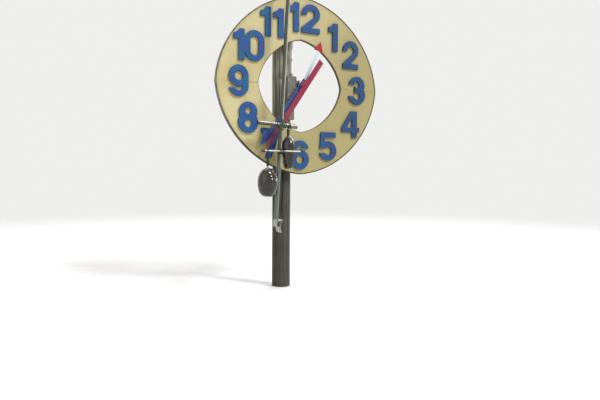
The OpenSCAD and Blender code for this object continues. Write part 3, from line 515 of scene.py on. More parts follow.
def wet_finish(name, colour, pale, algae):
    """Dark wet iron under a clear film: mottled lime, a pale painted highlight on top, green in the hollows."""
    fin = Finish(name, rough=0.3, metal=0.0)
    fin.shader.inputs["Specular IOR Level"].default_value = 0.12
    fin.shader.inputs["Coat Weight"].default_value = 1.0
    fin.shader.inputs["Coat Roughness"].default_value = 0.1
    patches = fin.noise(8, 5)
    rain = fin.noise(46, 5, (1, 1, 0.10), warp=0.3)
    drops = fin.cells(60, feature="SMOOTH_F1")
    tone = fin.mix(fin.span(patches, 0.38, 0.66), colour, toned(colour, 1.7))
    tone = fin.mix(fin.span(rain, 0.60, 0.80, 0.0, 0.35), tone, pale)
    tone = fin.mix(fin.span(fin.noise(34, 4, (1, 1, 0.5), shift=(2, 9, 4)), 0.52, 0.72, 0.0, 0.32), tone, pale)
    tone = fin.mix(fin.span(fin.noise(14, 4), 0.60, 0.74, 0.0, 0.35), tone, algae)
    # Painted highlight: faces turned up take a pale tone, for the glare on the wet top.
    top_glare = fin.math("ADD", fin.axis("Z", normal=True), fin.math("MULTIPLY", patches, 0.6))
    tone = fin.mix(fin.span(top_glare, 0.92, 1.22, 0.0, 0.85), tone, toned(pale, 3.2))
    fin.raise_by(fin.span(drops, 0.05, 0.4, 1.0, 0.0), 0.0006)
    fin.raise_by(fin.noise(90, 3), 0.0005)
    fin.raise_by(rain, 0.0010)
    return fin.done(tone, fin.span(rain, 0.35, 0.75, 0.25, 0.5))


def plastic_finish(name, colour, dirt_and_shade, rough=0.35):
    """Moulded plastic or rubber with dirt in streaks and painted shade on its underside."""
    fin = Finish(name, rough=rough)
    rain = fin.noise(38, 4, (1, 1, 0.1))
    patches = fin.noise(12, 4)
    tone = fin.mix(fin.span(patches, 0.35, 0.7), colour, toned(colour, 0.86))
    tone = fin.mix(fin.span(rain, 0.55, 0.75, 0.0, 0.5), tone, dirt_and_shade)
    # Painted shade: the underside takes the dirt colour.
    underside_shade = fin.math("ADD", fin.axis("Z", normal=True), fin.math("MULTIPLY", patches, 0.6))
    tone = fin.mix(fin.span(underside_shade, -0.1, 0.5, 0.85, 0.0), tone, dirt_and_shade)
    fin.raise_by(fin.noise(260, 2), 0.0001)
    return fin.done(tone, fin.span(patches, 0.3, 0.7, rough - 0.08, rough + 0.15))


def dial_finish(looks):
    """Face of the dial: cream paint in front, grey primer behind, stains by the edges and below."""
    fin = Finish("dial cream paint", rough=0.5)
    patches = fin.noise(1.7, 5)
    fine = fin.noise(60, 4, rough=0.65)
    rain = fin.noise(15, 5, (1, 1, 0.05))
    tone = fin.mix(fin.span(patches, 0.36, 0.66), looks.cream, looks.cream_faded)
    across = fin.along((DIAL_X, 0, DIAL_Z), (0.9, 0, -0.44))
    across = fin.math("ADD", across, fin.math("MULTIPLY", patches, 0.6))
    tone = fin.mix(fin.span(across, -0.2, 0.9, 0.0, 0.85), tone, looks.cream_dull)
    tone = fin.mix(fin.span(rain, 0.54, 0.80, 0.0, 0.16), tone, toned(looks.cream, 0.76))
    ragged = fin.math("MULTIPLY", fin.noise(11, 5), 0.05)
    out_reach = fin.math("ADD", fin.from_centre(RIM_FLAT), ragged)
    out_edge = fin.span(out_reach, BOARD_R - 0.02, BOARD_R + 0.035, 0.0, 0.55)
    in_reach = fin.math("SUBTRACT", fin.from_centre(HOLE_FLAT), ragged)
    in_edge = fin.span(in_reach, HOLE_R - 0.03, HOLE_R + 0.01, 0.5, 0.0)
    tone = fin.mix(out_edge, tone, looks.stain)
    tone = fin.mix(in_edge, tone, looks.stain)
    # Stain on the lower left of the face, which is also painted shadow of the weights there
    low = fin.radius(DIAL_X - 0.62, DIAL_Z - 0.93)
    broken = fin.math("MULTIPLY", fin.noise(5, 5), 0.75)
    stain_and_shadow = fin.math("SUBTRACT", fin.span(low, 0.05, 0.62, 1.0, 0.0), broken)
    tone = fin.mix(fin.span(stain_and_shadow, 0.12, 0.5, 0.0, 0.3), tone, looks.stain)
    # Joint line, where damp has got into the edge of the boards
    away = fin.math("ABSOLUTE", fin.math("SUBTRACT", fin.axis("Z"), DIAL_Z))
    here_and_there = fin.span(fin.noise(9, 4), 0.36, 0.6)
    swollen = fin.math("MULTIPLY", fin.span(away, 0.0022, 0.010, 0.75, 0.0), here_and_there)
    tone = fin.mix(swollen, tone, looks.joint)
    behind = fin.span(fin.axis("Y"), FACE_Y + 0.004, FACE_Y + 0.006)
    primer = fin.mix(fin.span(fine, 0.3, 0.7), looks.back, toned(looks.back, 0.7))
    tone = fin.mix(behind, tone, primer)
    fin.raise_by(fine, 0.0003)
    fin.raise_by(fin.noise(9, 3), 0.0016)
    return fin.done(tone, fin.span(patches, 0.3, 0.7, 0.42, 0.6))


def hoop_finish(looks, dark):
    """Bent timber edging: dark paint, with grey flakes on its outside towards the upper left, which also paint
    the light that falls there.
    """
    fin = Finish("edging dark paint", rough=0.6)
    flakes = fin.noise(16, 5, (1, 5, 1))
    patches = fin.noise(7, 5)
    tone = fin.mix(fin.span(patches, 0.35, 0.7), looks.hoop, toned(looks.hoop, 1.5))
    # Painted light: the outside towards the upper left turns grey, broken into flakes.
    upper_left_reach = fin.along((DIAL_X, 0, DIAL_Z), (-0.75, 0, 0.66))
    worn = fin.span(fin.math("ADD", upper_left_reach, fin.math("MULTIPLY", patches, 0.4)), 0.3, 1.1)
    outside = fin.span(fin.math("ABSOLUTE", fin.axis("Y", normal=True)), 0.3, 0.8, 1.0, 0.45)
    bare_and_lit = fin.math("MULTIPLY", fin.math("MULTIPLY", worn, outside), fin.span(flakes, 0.38, 0.5))
    tone = fin.mix(bare_and_lit, tone, looks.hoop_grey_lit)
    tone = fin.mix(fin.span(fin.noise(60, 4), 0.56, 0.7, 0.0, 0.5), tone, dark)
    fin.raise_by(fin.noise(120, 3), 0.0003)
    fin.raise_by(flakes, 0.0006)
    return fin.done(tone, fin.span(patches, 0.3, 0.7, 0.5, 0.75))


def numeral_finish(looks, under):
    """Blue paint of the numerals: greenish and purplish patches, duller to the right, painted shade on the
    sides.
    """
    fin = Finish("numeral blue paint", rough=0.42)
    fin.shader.inputs["Specular IOR Level"].default_value = 0.28
    patches = fin.noise(4.5, 3)
    across = fin.math("ADD", fin.axis("X"), fin.math("MULTIPLY", fin.noise(1.4, 2, shift=(5, 2, 9)), 0.8))
    tone = fin.mix(fin.span(patches, 0.40, 0.62), looks.blue, looks.blue_teal)
    tone = fin.mix(fin.span(across, DIAL_X + 0.1, DIAL_X + 1.2, 0.0, 0.8), tone, looks.blue_grey)
    tone = fin.mix(fin.span(fin.noise(7, 4, shift=(2, 8, 4)), 0.56, 0.68, 0.0, 0.7), tone, looks.blue_violet)
    rain = fin.noise(24, 4, (1, 1, 0.06))
    tone = fin.mix(fin.span(rain, 0.54, 0.8, 0.0, 0.4), tone, looks.blue_dark)
    # Painted shade: faces turned away from the front take the dark blue.
    side_shade = fin.math("ABSOLUTE", fin.axis("Y", normal=True))
    tone = fin.mix(fin.span(side_shade, 0.25, 0.9, 0.85, 0.0), tone, looks.blue_dark)
    specks = fin.noise(85, 3, rough=0.7)
    chipped = fin.span(fin.math("ADD", specks, fin.math("MULTIPLY", patches, 0.4)), 0.94, 0.98, 0.0, 0.3)
    tone = fin.mix(chipped, tone, under)
    fin.raise_by(chipped, -0.0004)
    fin.raise_by(fin.noise(300, 2), 0.00015)
    return fin.done(tone, fin.span(patches, 0.3, 0.75, 0.36, 0.56))


# Meshes

FRONT, BACK, LEFT, RIGHT, UP = (0, -1, 0), (0, 1, 0), (-1, 0, 0), (1, 0, 0), (0, 0, 1)

# Screw and bolt heads: width across the flats, height, radius of the washer
LEDGER_SCREW = (0.019, 0.010, 0.020)
BEARING_BOLT = (0.015, 0.008, 0.0115)
CLIP_SCREW = (0.010, 0.005, 0.0085)
FITTING_SCREW = (0.011, 0.007)
HEAD_SCREW = (0.017, 0.010, 0.013)
CLAMP_SCREW = (0.013, 0.008, 0.010)
CLAMP_SIDE_SCREW = (0.012, 0.007)
STRAP_BOLT = (0.012, 0.006, 0.0085)
HANGER_BOLT = (0.013, 0.006, 0.0095)
HANGER_NUT = (0.022, 0.011, 0.018)
PADDLE_BOLT = (0.013, 0.008, 0.010)

# Nuts on a bolt's end: width across the flats, height, length of the end, radius of the washer
POST_NUT = (0.024, 0.013, 0.010, 0.024)
BEAM_NUT = (0.024, 0.013, 0.010, 0.026)
BEAM_END_NUT = (0.024, 0.013, 0.008, 0.026)
CROSSARM_NUT = (0.017, 0.009, 0.007, 0.017)
SPLICE_NUT = (0.017, 0.009, 0.006, 0.016)
ARBOR_NUT = (0.024, 0.008, 0.006, 0.019)
BRACKET_NUT = (0.017, 0.009, 0.007, 0.016)
STRAP_NUT = (0.012, 0.006, 0.005, 0.0085)
HANGER_BOLT_NUT = (0.013, 0.006, 0.004, 0.0095)
PADDLE_NUT = (0.013, 0.008, 0.007, 0.010)


def turned(bm, place, profile, segments=24, phase=0.0):
    """Adds a turned shape to bm: profile is (radius, height) from one end to the other along place's Z."""
    rings = []
    for radius, height in profile:
        if radius <= 1e-6:
            rings.append([bm.verts.new(place @ Vector((0, 0, height)))])
            continue
        rings.append([
            bm.verts.new(place @ Vector((
                radius * math.cos(phase + 2 * math.pi * i / segments),
                radius * math.sin(phase + 2 * math.pi * i / segments),
                height,
            )))
            for i in range(segments)
        ])
    for one, two in zip(rings, rings[1:]):
        for i in range(segments):
            j = (i + 1) % segments
            corners = [one[i % len(one)], one[j % len(one)], two[j % len(two)], two[i % len(two)]]
            unique = list(dict.fromkeys(corners))
            if len(unique) > 2:
                bm.faces.new(unique)


def facing(point, direction):
    """Matrix at point whose Z runs along direction."""
    return Matrix.Translation(Vector(point)) @ Vector(direction).to_track_quat("Z", "Y").to_matrix().to_4x4()


def hex_head(bm, point, direction, across, height, washer=0.0, turn=0.0):
    """Hexagon head or nut on a washer, standing on a surface at point."""
    place = facing(point, direction)
    base = 0.0
    if washer:
        base = height * 0.22
        turned(bm, place,
               [(0, -0.001), (washer, -0.001), (washer, base * 0.7), (washer * 0.94, base), (0, base)])
    r = across / math.sqrt(3)
    top = base + height
    turned(bm, place,
           [(0, base - 0.0005), (r, base - 0.0005), (r, top - height * 0.12), (r * 0.86, top), (0, top)],
           6, turn)


def stud_nut(bm, point, direction, across, height, stud, washer=0.0, turn=0.0):
    """Nut on a washer with the end of its bolt standing out of it."""
    hex_head(bm, point, direction, across, height, washer, turn)
    top = height * (1.22 if washer else 1.0)
    r = across * 0.27
    turned(bm, facing(point, direction),
           [(r, top - 0.001), (r, top + stud * 0.8), (r * 0.8, top + stud), (0, top + stud)], 16)


def dome_head(bm, point, direction, radius, height, segments=14):
    """Low domed screw or rivet head."""
    steps = 4
    profile = [(radius, -0.001)] + [
        (radius * math.cos(math.pi / 2 * i / steps), height * math.sin(math.pi / 2 * i / steps))
        for i in range(steps)
    ] + [(0, height)]
    turned(bm, facing(point, direction), profile, segments)


def slab(bm, low, high, place=None):
    """Adds a box between two corners and returns its vertices."""
    place = place or Matrix.Identity(4)
    xs, ys, zs = zip(low, high)
    corners = [Vector((x, y, z)) for x in xs for y in ys for z in zs]
    v = [bm.verts.new(place @ c) for c in corners]
    for f in ((0, 1, 3, 2), (4, 6, 7, 5), (0, 4, 5, 1), (2, 3, 7, 6), (0, 2, 6, 4), (1, 5, 7, 3)):
        bm.faces.new([v[i] for i in f])
    return v


def piece(name, body, bm, finish, replaces=(), smooth_angle=32, ease=0.0):
    """Turns bm into a named piece that rides on a body. ease rounds its sharp edges."""
    bmesh.ops.recalc_face_normals(bm, faces=bm.faces)
    if ease:
        limit = math.radians(smooth_angle)
        sharp = [e for e in bm.edges if len(e.link_faces) == 2 and e.calc_face_angle(0) > limit]
        bmesh.ops.bevel(bm, geom=sharp, offset=ease, segments=2, affect="EDGES", clamp_overlap=True)
    mesh = bpy.data.meshes.new(name)
    bm.to_mesh(mesh)
    bm.free()
    mesh.shade_smooth()
    mesh.set_sharp_from_angle(angle=math.radians(smooth_angle))
    obj = bpy.data.objects.new(name, mesh)
    bpy.context.scene.collection.objects.link(obj)
    obj.data.materials.append(finish)
    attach(obj, body)
    if replaces:
        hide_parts(*replaces)
    return obj


def dress(nodes, finish, ease=0.0):
    """Gives CAD nodes their finish, and rounds their sharp edges with modifiers."""
    for name in nodes:
        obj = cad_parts[name]
        obj.data.materials.clear()
        obj.data.materials.append(finish)
        if ease:
            weld = obj.modifiers.new("join seams", "WELD")
            weld.merge_threshold = 0.00005
            flat = obj.modifiers.new("merge flat faces", "DECIMATE")
            flat.decimate_type = "DISSOLVE"
            flat.angle_limit = math.radians(0.6)
            rounded = obj.modifiers.new("rounded edges", "BEVEL")
            rounded.limit_method = "ANGLE"
            rounded.angle_limit = math.radians(32)
            rounded.width = ease
            rounded.segments = 2
            rounded.use_clamp_overlap = True
            obj.modifiers.new("even shading", "WEIGHTED_NORMAL").keep_sharp = True
    return finish


def dial_point(radius, angle, y):
    """Point on the dial, with the angle in degrees clockwise from twelve."""
    a = math.radians(angle)
    return Vector((DIAL_X + radius * math.sin(a), y, DIAL_Z + radius * math.cos(a)))


def edge_point(radius, flat, angle, y):
    """Point on an outline of the dial that is flat short of a circle, and the way straight out of it."""
    a = math.radians(angle)
    reach = radius - flat * abs(math.sin(2 * a))
    change = -2 * flat * math.cos(2 * a) * math.copysign(1, math.sin(2 * a))
    out = Vector((reach * math.sin(a) - change * math.cos(a), 0, reach * math.cos(a) + change * math.sin(a)))
    return dial_point(reach, angle, y), out.normalized()


# Standing part

CROSSARMS = ("crossarm_top", "crossarm_bottom")
# What the post's radius loses from its foot to its top
POST_TAPER = 0.018


def post_back(z):
    """How far back the post's side lies at a height."""
    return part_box("post")[1].y - POST_TAPER * z / CAD_HIGH.z


def post_rings(looks):
    """Heights of the post's rows, with a close pair at the edge of each housing."""
    housings = post_housings()
    edges = sorted({round(z, 5) for h in housings for z in (h[2], h[3])})
    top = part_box("post")[1].z
    rows = [i * looks.row for i in range(int(top / looks.row) + 1)] + [top]
    step = 0.0006
    rows = [z for z in rows if all(abs(z - e) > looks.row * 0.5 for e in edges)]
    return sorted(set(rows + [e - step for e in edges] + [e + step for e in edges])), housings, top


def post_housings():
    """Flats cut in the post: (axis, limit, lowest, highest), from what sits in them."""
    flats = []
    for name in CROSSARMS:
        low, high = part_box(name)
        flats.append(("y", high.y, low.z, high.z))
    shelf_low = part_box("box_shelf")[0]
    box_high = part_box("clockwork_box")[1]
    flats.append(("y", box_high.y, shelf_low.z, box_high.z))
    low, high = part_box("suspension_beam")
    flats.append(("x", high.x, low.z, high.z))
    return flats


def build_post(looks, finish):
    """Round log with drying checks, a wandering side and flat housings."""
    low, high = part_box("post")
    rows, housings, top = post_rings(looks)
    foot_r = high.x
    top_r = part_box("drive_pipe")[0].x + 0.039
    dice = random.Random(5)
    checks = []
    for k in range(looks.checks):
        length = dice.uniform(0.5, 1.7)
        start = dice.uniform(-0.2, top - 0.5)
        checks.append((
            dice.uniform(0, 2 * math.pi), start, start + length,
            dice.uniform(0.45, 1.0) * looks.check_depth, dice.uniform(0.7, 1.25) * looks.check_width,
            dice.uniform(0, 50),
        ))
    # A long check up the front, which shows between the pendulum and the box
    checks.append((math.radians(-104), 0.9, 4.1, looks.check_depth, looks.check_width, 7.0))
    checks.append((math.radians(-128), 1.5, 3.4, looks.check_depth * 0.7, looks.check_width, 3.0))
    bm = bmesh.new()
    n = looks.columns
    rings = []
    for z in rows:
        r0 = foot_r + (top_r - foot_r) * z / top
        near = min([abs(z - h[2]) for h in housings] + [abs(z - h[3]) for h in housings])
        calm = min(1.0, near / 0.10)
        ring = []
        for i in range(n):
            a = 2 * math.pi * i / n
            swell = noise.noise(Vector((math.cos(a) * 1.1, math.sin(a) * 1.1, z * 0.9))) - 0.35
            ripple = noise.noise(Vector((math.cos(a) * 9, math.sin(a) * 9, z * 1.3)))
            r = r0 + calm * looks.swell * min(0.0, swell) + 0.0012 * min(0.2, ripple)
            for angle, z0, z1, depth, width, seed in checks:
                if z0 < z < z1:
                    middle = angle + 0.10 * noise.noise(Vector((seed, 0, z * 2.2))) / 0.5
                    off = (a - middle + math.pi) % (2 * math.pi) - math.pi
                    taper = min(1.0, (z - z0) / 0.25, (z1 - z) / 0.25)
                    r -= depth * taper * math.exp(-((off * r0 / width) ** 2))
            if z > top - 0.006:
                r -= 0.005
            p = Vector((r * math.cos(a), r * math.sin(a), z))
            for axis, limit, z0, z1 in housings:
                if z0 < z < z1:
                    if axis == "y":
                        p.y = max(p.y, limit)
                    else:
                        p.x = max(p.x, limit)
            ring.append(bm.verts.new(p))
        rings.append(ring)
    for one, two in zip(rings, rings[1:]):
        for i in range(n):
            j = (i + 1) % n
            bm.faces.new((one[i], one[j], two[j], two[i]))
    for ring, z in ((rings[0], 0.0), (rings[-1], top)):
        inner = [bm.verts.new((v.co.x * 0.55, v.co.y * 0.55, z)) for v in ring]
        centre = bm.verts.new((0, 0, z))
        for i in range(n):
            j = (i + 1) % n
            bm.faces.new((ring[i], ring[j], inner[j], inner[i]))
            bm.faces.new((inner[i], inner[j], centre))
    return piece("weathered_post", "frame", bm, finish, ("post",), smooth_angle=40)


class CLOCK_OT_timber(bpy.types.Operator):
    """Build the weathered post and finish the crossarms and the beam"""

    bl_idname = "clock.timber"
    bl_label = "Timber"

    def execute(self, context):
        looks = context.scene.clock_timber
        metal = context.scene.clock_metal
        grey = timber_finish("post weathered timber", looks.grey, looks.dark, "Z", looks.pale, looks.algae,
                             darker_below=2.75, pith=(0.012, -0.008, 0))
        build_post(looks, grey)
        low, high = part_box("crossarm_top")
        arms = timber_finish("crossarm sawn timber", looks.sawn, looks.dark, "X", algae=looks.algae,
                             pith=(0, high.y + 0.02, low.z - 0.01))
        dress(CROSSARMS, arms, looks.edge)
        low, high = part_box("suspension_beam")
        beam = timber_finish("beam sawn timber", looks.sawn, looks.dark, "Y", algae=looks.algae,
                             pith=((low.x + high.x) / 2, 0, low.z - 0.03))
        dress(("suspension_beam",), beam, looks.edge)
        ledger = timber_finish("ledger sawn timber", looks.sawn, looks.dark, "Z", algae=looks.algae)
        dress(("box_shelf",), ledger, looks.edge)
        zinc = zinc_finish("bolt zinc", metal.zinc, metal.rust, wear=0.7)
        bm = bmesh.new()
        for name in CROSSARMS:
            low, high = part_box(name)
            middle = (low.z + high.z) / 2
            y = post_back(middle) - 0.005
            for z in (middle + 0.036, middle - 0.036):
                stud_nut(bm, (0, y, z), BACK, *POST_NUT, turn=z * 9)
        low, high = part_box("suspension_beam")
        for y in (-0.045, 0.045):
            z = (low.z + high.z) / 2 + y * 0.6
            stud_nut(bm, (low.x, y, z), LEFT, *BEAM_NUT)
            x = math.sqrt(post_back(z) ** 2 - y * y) - 0.003
            stud_nut(bm, (x, y, z), RIGHT, *BEAM_END_NUT)
        low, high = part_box("box_shelf")
        for z in (low.z + 0.06, high.z - 0.07):
            hex_head(bm, (0.038, low.y, z), FRONT, *LEDGER_SCREW, turn=z)
        piece("timber_bolts", "frame", bm, zinc)

        # Coach bolts through the crossarms into the ribs, away from the post
        bm = bmesh.new()
        for name in CROSSARMS:
            low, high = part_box(name)
            middle = (low.z + high.z) / 2
            for k, x in enumerate((low.x + 0.07, low.x + 0.27, high.x - 0.27, high.x - 0.07)):
                side = 0.028 if k % 2 else -0.028
                for z in (middle + side, middle - side * 0.9):
                    stud_nut(bm, (x + side, high.y, z), BACK, *CROSSARM_NUT, turn=x * 7 + z)
        piece("crossarm_bolts", "frame", bm, zinc)
        return {"FINISHED"}


class CLOCK_OT_dial(bpy.types.Operator):
    """Paint the dial's face, hoop and lining, and put in its screws and bolts"""

    bl_idname = "clock.dial"
    bl_label = "Dial"

    def execute(self, context):
        looks = context.scene.clock_dial
        timber = context.scene.clock_timber
        metal = context.scene.clock_metal
        face = dial_finish(looks)
        dress(("dial_upper", "dial_lower"), face)
        hoop = hoop_finish(looks, timber.dark)
        dress(("rim_hoop",), hoop)
        lining = paint_finish("lining olive paint", looks.lining, timber.dark, chips=0.7, rough=0.6)
        dress(("hole_lining",), lining)
        ribs = timber_finish("rib framing timber", timber.rib, timber.dark, "X", timber.rib_pale,
                             edge_rib=looks.edge_rib)
        dress(("ribs_upper", "ribs_lower"), ribs)
        dress(("splices",), zinc_finish("splice zinc", metal.zinc, metal.rust, wear=0.6), 0.001)

        bm = bmesh.new()
        for radius, flat, count in ((BOARD_R - 0.022, RIM_FLAT, 44), (HOLE_R + 0.030, HOLE_FLAT, 28)):
            for k in range(count):
                spot = edge_point(radius, flat, 360 / count * (k + 0.5), FACE_Y)[0]
                dome_head(bm, spot, FRONT, looks.screw_r, 0.0011)
        for angle in (0, 30, 60, 120, 150, 180, 210, 240, 300, 330):
            for radius in (HOLE_R + 0.075, BOARD_R - 0.10):
                dome_head(bm, dial_point(radius, angle, FACE_Y), FRONT, looks.screw_r, 0.0011)
        piece("face_screws", "frame", bm, face)

        bm = bmesh.new()
        middle = (DIAL_LOW.y + DIAL_HIGH.y) / 2
        for k in range(32):
            spot, out = edge_point(DIAL_R, RIM_FLAT, 11.25 * (k + 0.5), middle)
            dome_head(bm, spot, out, 0.0075, 0.0022)
        # The edging is nailed twice at its scarf joints, by the ends of the boards' joint
        for angle in (86, 94, 266, 274):
            for side in (-0.014, 0.014):
                spot, out = edge_point(DIAL_R, RIM_FLAT, angle, middle + side)
                dome_head(bm, spot, out, 0.006, 0.0018)
        piece("edging_nails", "frame", bm, hoop)

        bm = bmesh.new()
        low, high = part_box("splices")
        half = BOARD_R - HOLE_R - 0.05
        for middle in ((low.x + half / 2), (high.x - half / 2)):
            for x in (middle - half * 0.4, middle - half * 0.13, middle + half * 0.13, middle + half * 0.4):
                for z in (DIAL_Z - 0.027, DIAL_Z + 0.027):
                    stud_nut(bm, (x, high.y, z), BACK, *SPLICE_NUT, turn=x * 40)
        piece("splice_bolts", "frame", bm,
              zinc_finish("dial bolt zinc", metal.zinc, metal.rust, wear=0.8))
        return {"FINISHED"}


class CLOCK_OT_numerals(bpy.types.Operator):
    """Paint the raised numerals and round their edges"""

    bl_idname = "clock.numerals"
    bl_label = "Numerals"

    def execute(self, context):
        looks = context.scene.clock_dial
        blue = numeral_finish(looks, context.scene.clock_timber.rib)
        dress([f"numeral_{n}" for n in range(1, 13)], blue, looks.edge)
        return {"FINISHED"}


class CLOCK_OT_clockwork(bpy.types.Operator):
    """Finish the clockwork box, its bearing block and the drive pipe, with their fittings"""

    bl_idname = "clock.clockwork"
    bl_label = "Clockwork"

    def execute(self, context):
        looks = context.scene.clock_metal
        enamel = paint_finish("box grey enamel", looks.enamel, looks.rust, rough=0.4, chips=0.55, streaks=0.5)
        dress(("clockwork_box",), enamel, looks.edge)
        iron = iron_finish("bearing oiled iron", looks.iron, looks.rust)
        dress(("bearing_block",), iron, looks.edge)
        zinc = zinc_finish("drive pipe zinc", looks.drive, looks.rust, spangle=110, wear=0.15, metal=0.1)
        dress(("drive_pipe",), zinc)
        dress(("pipe_clips",), zinc_finish("clip zinc", looks.zinc, looks.rust, wear=0.8), 0.0008)

        low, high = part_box("clockwork_box")
        bm = bmesh.new()
        rim = 0.014
        for z in (low.z + 0.055, high.z - 0.055):
            turned(bm, facing((low.x + rim, low.y - 0.0005, z - 0.022), UP),
                   [(0, 0), (0.0042, 0), (0.0042, 0.044), (0, 0.044)], 16)
            slab(bm, (low.x + 0.003, low.y - 0.0018, z - 0.018), (low.x + rim, low.y, z + 0.018))
        middle = (low.z + high.z) / 2
        turned(bm, facing((high.x - 0.026, low.y + 0.004, middle), FRONT),
               [(0.013, 0), (0.013, 0.005), (0.011, 0.0065), (0.006, 0.0065), (0.0055, 0.0045), (0, 0.0045)],
               28)
        slab(bm, (high.x - 0.0268, low.y - 0.0022, middle - 0.005),
             (high.x - 0.0252, low.y + 0.001, middle + 0.005))
        for x in (low.x + 0.007, high.x - 0.007):
            for z in (low.z + 0.007, high.z - 0.007):
                dome_head(bm, (x, low.y, z), FRONT, 0.0038, 0.0014, 12)
        piece("box_fittings", "frame", bm,
              zinc_finish("box fitting zinc", looks.zinc, looks.rust, wear=0.5))

        bm = bmesh.new()
        for k in range(5):
            z = low.z + 0.06 + k * 0.014
            slab(bm, (high.x - 0.0008, low.y + 0.075, z), (high.x + 0.0022, low.y + 0.107, z + 0.006))
        piece("box_louvres", "frame", bm, enamel, ease=0.0008)

        bm = bmesh.new()
        block_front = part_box("clockwork_box")[0].y + 0.010
        for x in (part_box("clockwork_box")[1].x + 0.014, DIAL_X - 0.014):
            for z in (DIAL_Z - 0.060, DIAL_Z + 0.060):
                hex_head(bm, (x, block_front, z), FRONT, *BEARING_BOLT, turn=z * 30)
        turned(bm, facing((DIAL_X - 0.02, block_front, DIAL_Z + 0.074), (0, -0.5, 1)),
               [(0.005, -0.003), (0.005, 0.006), (0.0032, 0.008), (0.0042, 0.012), (0.002, 0.016), (0, 0.016)],
               14)
        piece("bearing_bolts", "frame", bm,
              zinc_finish("bearing bolt zinc", looks.bright, looks.rust, wear=0.5))

        low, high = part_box("drive_pipe")
        x, y = (low.x + high.x) / 2, (low.y + high.y) / 2
        r = (high.x - low.x) / 2
        box_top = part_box("clockwork_box")[1].z
        bm = bmesh.new()
        turned(bm, facing((x, y, box_top), UP),
               [(r, 0.0), (r + 0.010, 0.0), (r + 0.010, 0.018), (r + 0.007, 0.022), (r, 0.022)], 6)
        turned(bm, facing((x, y, box_top + 0.022), UP),
               [(r, 0.0), (r + 0.004, 0.0), (r + 0.004, 0.030), (r, 0.033)], 32)
        turned(bm, facing((x, y, high.z - 0.030), UP),
               [(r, 0.0), (r + 0.003, 0.001), (r + 0.003, 0.027), (r, 0.0295)], 32)
        piece("pipe_union", "frame", bm,
              zinc_finish("union zinc", looks.bright, looks.rust, wear=0.6))

        bm = bmesh.new()
        turn = math.atan2(y, x)
        across = Vector((-math.sin(turn), math.cos(turn), 0))
        clip_low, clip_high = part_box("pipe_clips")
        reach = math.hypot(x, y)
        for z in (clip_low.z + 0.013, clip_high.z - 0.013):
            for side in (-1, 1):
                spot = Vector((math.cos(turn), math.sin(turn), 0)) * (reach - 0.010) + across * side * 0.0205
                hex_head(bm, (spot.x, spot.y, z), tuple(across * side), *CLIP_SCREW)
        piece("clip_screws", "frame", bm,
              zinc_finish("clip screw zinc", looks.bright, looks.rust, wear=0.9))
        return {"FINISHED"}


# Hands


def blade_line(node):
    """Point of a hand's middle line beside the arbor, the line's way to the tip, and the tip's distance."""
    spots = [Vector((v.co.x - DIAL_X, 0, v.co.z - DIAL_Z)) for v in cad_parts[node].data.vertices]
    reach = max(p.length for p in spots)
    ends = [p for p in spots if p.length > reach - 0.001]
    tip = sum(ends, Vector()) / len(ends)
    way = tip.normalized()
    back = min(p.dot(way) for p in spots)
    ends = [p for p in spots if p.dot(way) < back + 0.018]
    along = (tip - sum(ends, Vector()) / len(ends)).normalized()
    length = tip.dot(along)
    return tip - along * length, along, length


class CLOCK_OT_hands(bpy.types.Operator):
    """Paint the three hands and add their rivets, washers and arbor nut"""

    bl_idname = "clock.hands"
    bl_label = "Hands"

    def execute(self, context):
        looks = context.scene.clock_metal
        centre = (DIAL_X, 0, DIAL_Z)
        hour = paint_finish("hour hand pale paint", looks.hour, looks.zinc, rough=0.3, chips=0.4)
        dress(("hour_hand",), hour, looks.edge)
        arrow = paint_finish("arrow red paint", looks.arrow, looks.zinc, rough=0.35, chips=0.35)
        dress(("hour_arrow",), arrow, looks.edge)
        minute = paint_finish("minute hand blue paint", looks.minute, looks.zinc, looks.minute_faded,
                              rough=0.35, chips=0.35)
        dress(("minute_hand",), minute, looks.edge)
        along, length = blade_line("sweep_hand")[1:]
        sweep = paint_finish("sweep hand crimson paint", looks.sweep, looks.zinc, rough=0.35, chips=0.35,
                             change=(centre, along, length, looks.sweep_faded))
        dress(("sweep_hand",), sweep, looks.edge)

        foot, along, length = blade_line("hour_hand")
        self.rivet("hour", "arrow_red", arrow, foot, along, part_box("hour_arrow")[0].y,
                   ((length - 0.008, 0.0), (length - 0.021, -0.011), (length - 0.021, 0.011)), 0.0045)
        self.rivet("minute", "minute_blue", minute, *blade_line("minute_hand")[:2],
                   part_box("minute_hand")[0].y + 0.004,
                   [(reach, off) for reach in (-0.064, 0.062, 0.080) for off in (-0.024, 0.024)], 0.0055)
        self.rivet("sweep", "sweep_red", sweep, *blade_line("sweep_hand")[:2],
                   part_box("sweep_hand")[0].y + 0.004,
                   [(reach, off) for reach in (-0.092, -0.070, 0.070, 0.092) for off in (-0.022, 0.022)], 0.006)

        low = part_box("sweep_hand")[0]
        bm = bmesh.new()
        stud_nut(bm, (DIAL_X, low.y, DIAL_Z), FRONT, *ARBOR_NUT)
        piece("arbor_nut", "sweep", bm, sweep)
        return {"FINISHED"}

    def rivet(self, hand, slot, finish, foot, along, front, spots, radius):
        """Puts rivets on a hand's blade, each at a distance along it and beside its middle line."""
        side = Vector((along.z, 0, -along.x))
        bm = bmesh.new()
        for reach, off in spots:
            spot = Vector((DIAL_X, front, DIAL_Z)) + foot + along * reach + side * off
            dome_head(bm, spot, FRONT, radius, radius * 0.35)
        piece(hand + "_rivets", hand, bm, finish)


# Pendulum


def pendulum_line():
    """Pivot, unit vector down the pendulum and unit vector to its right."""
    low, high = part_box("pivot_pin")
    pivot = (low + high) / 2
    low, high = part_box("cross_fitting")
    middle = (low + high) / 2
    down = (Vector((middle.x, pivot.y, middle.z)) - pivot).normalized()
    return pivot, down, Vector((-down.z, 0, down.x))


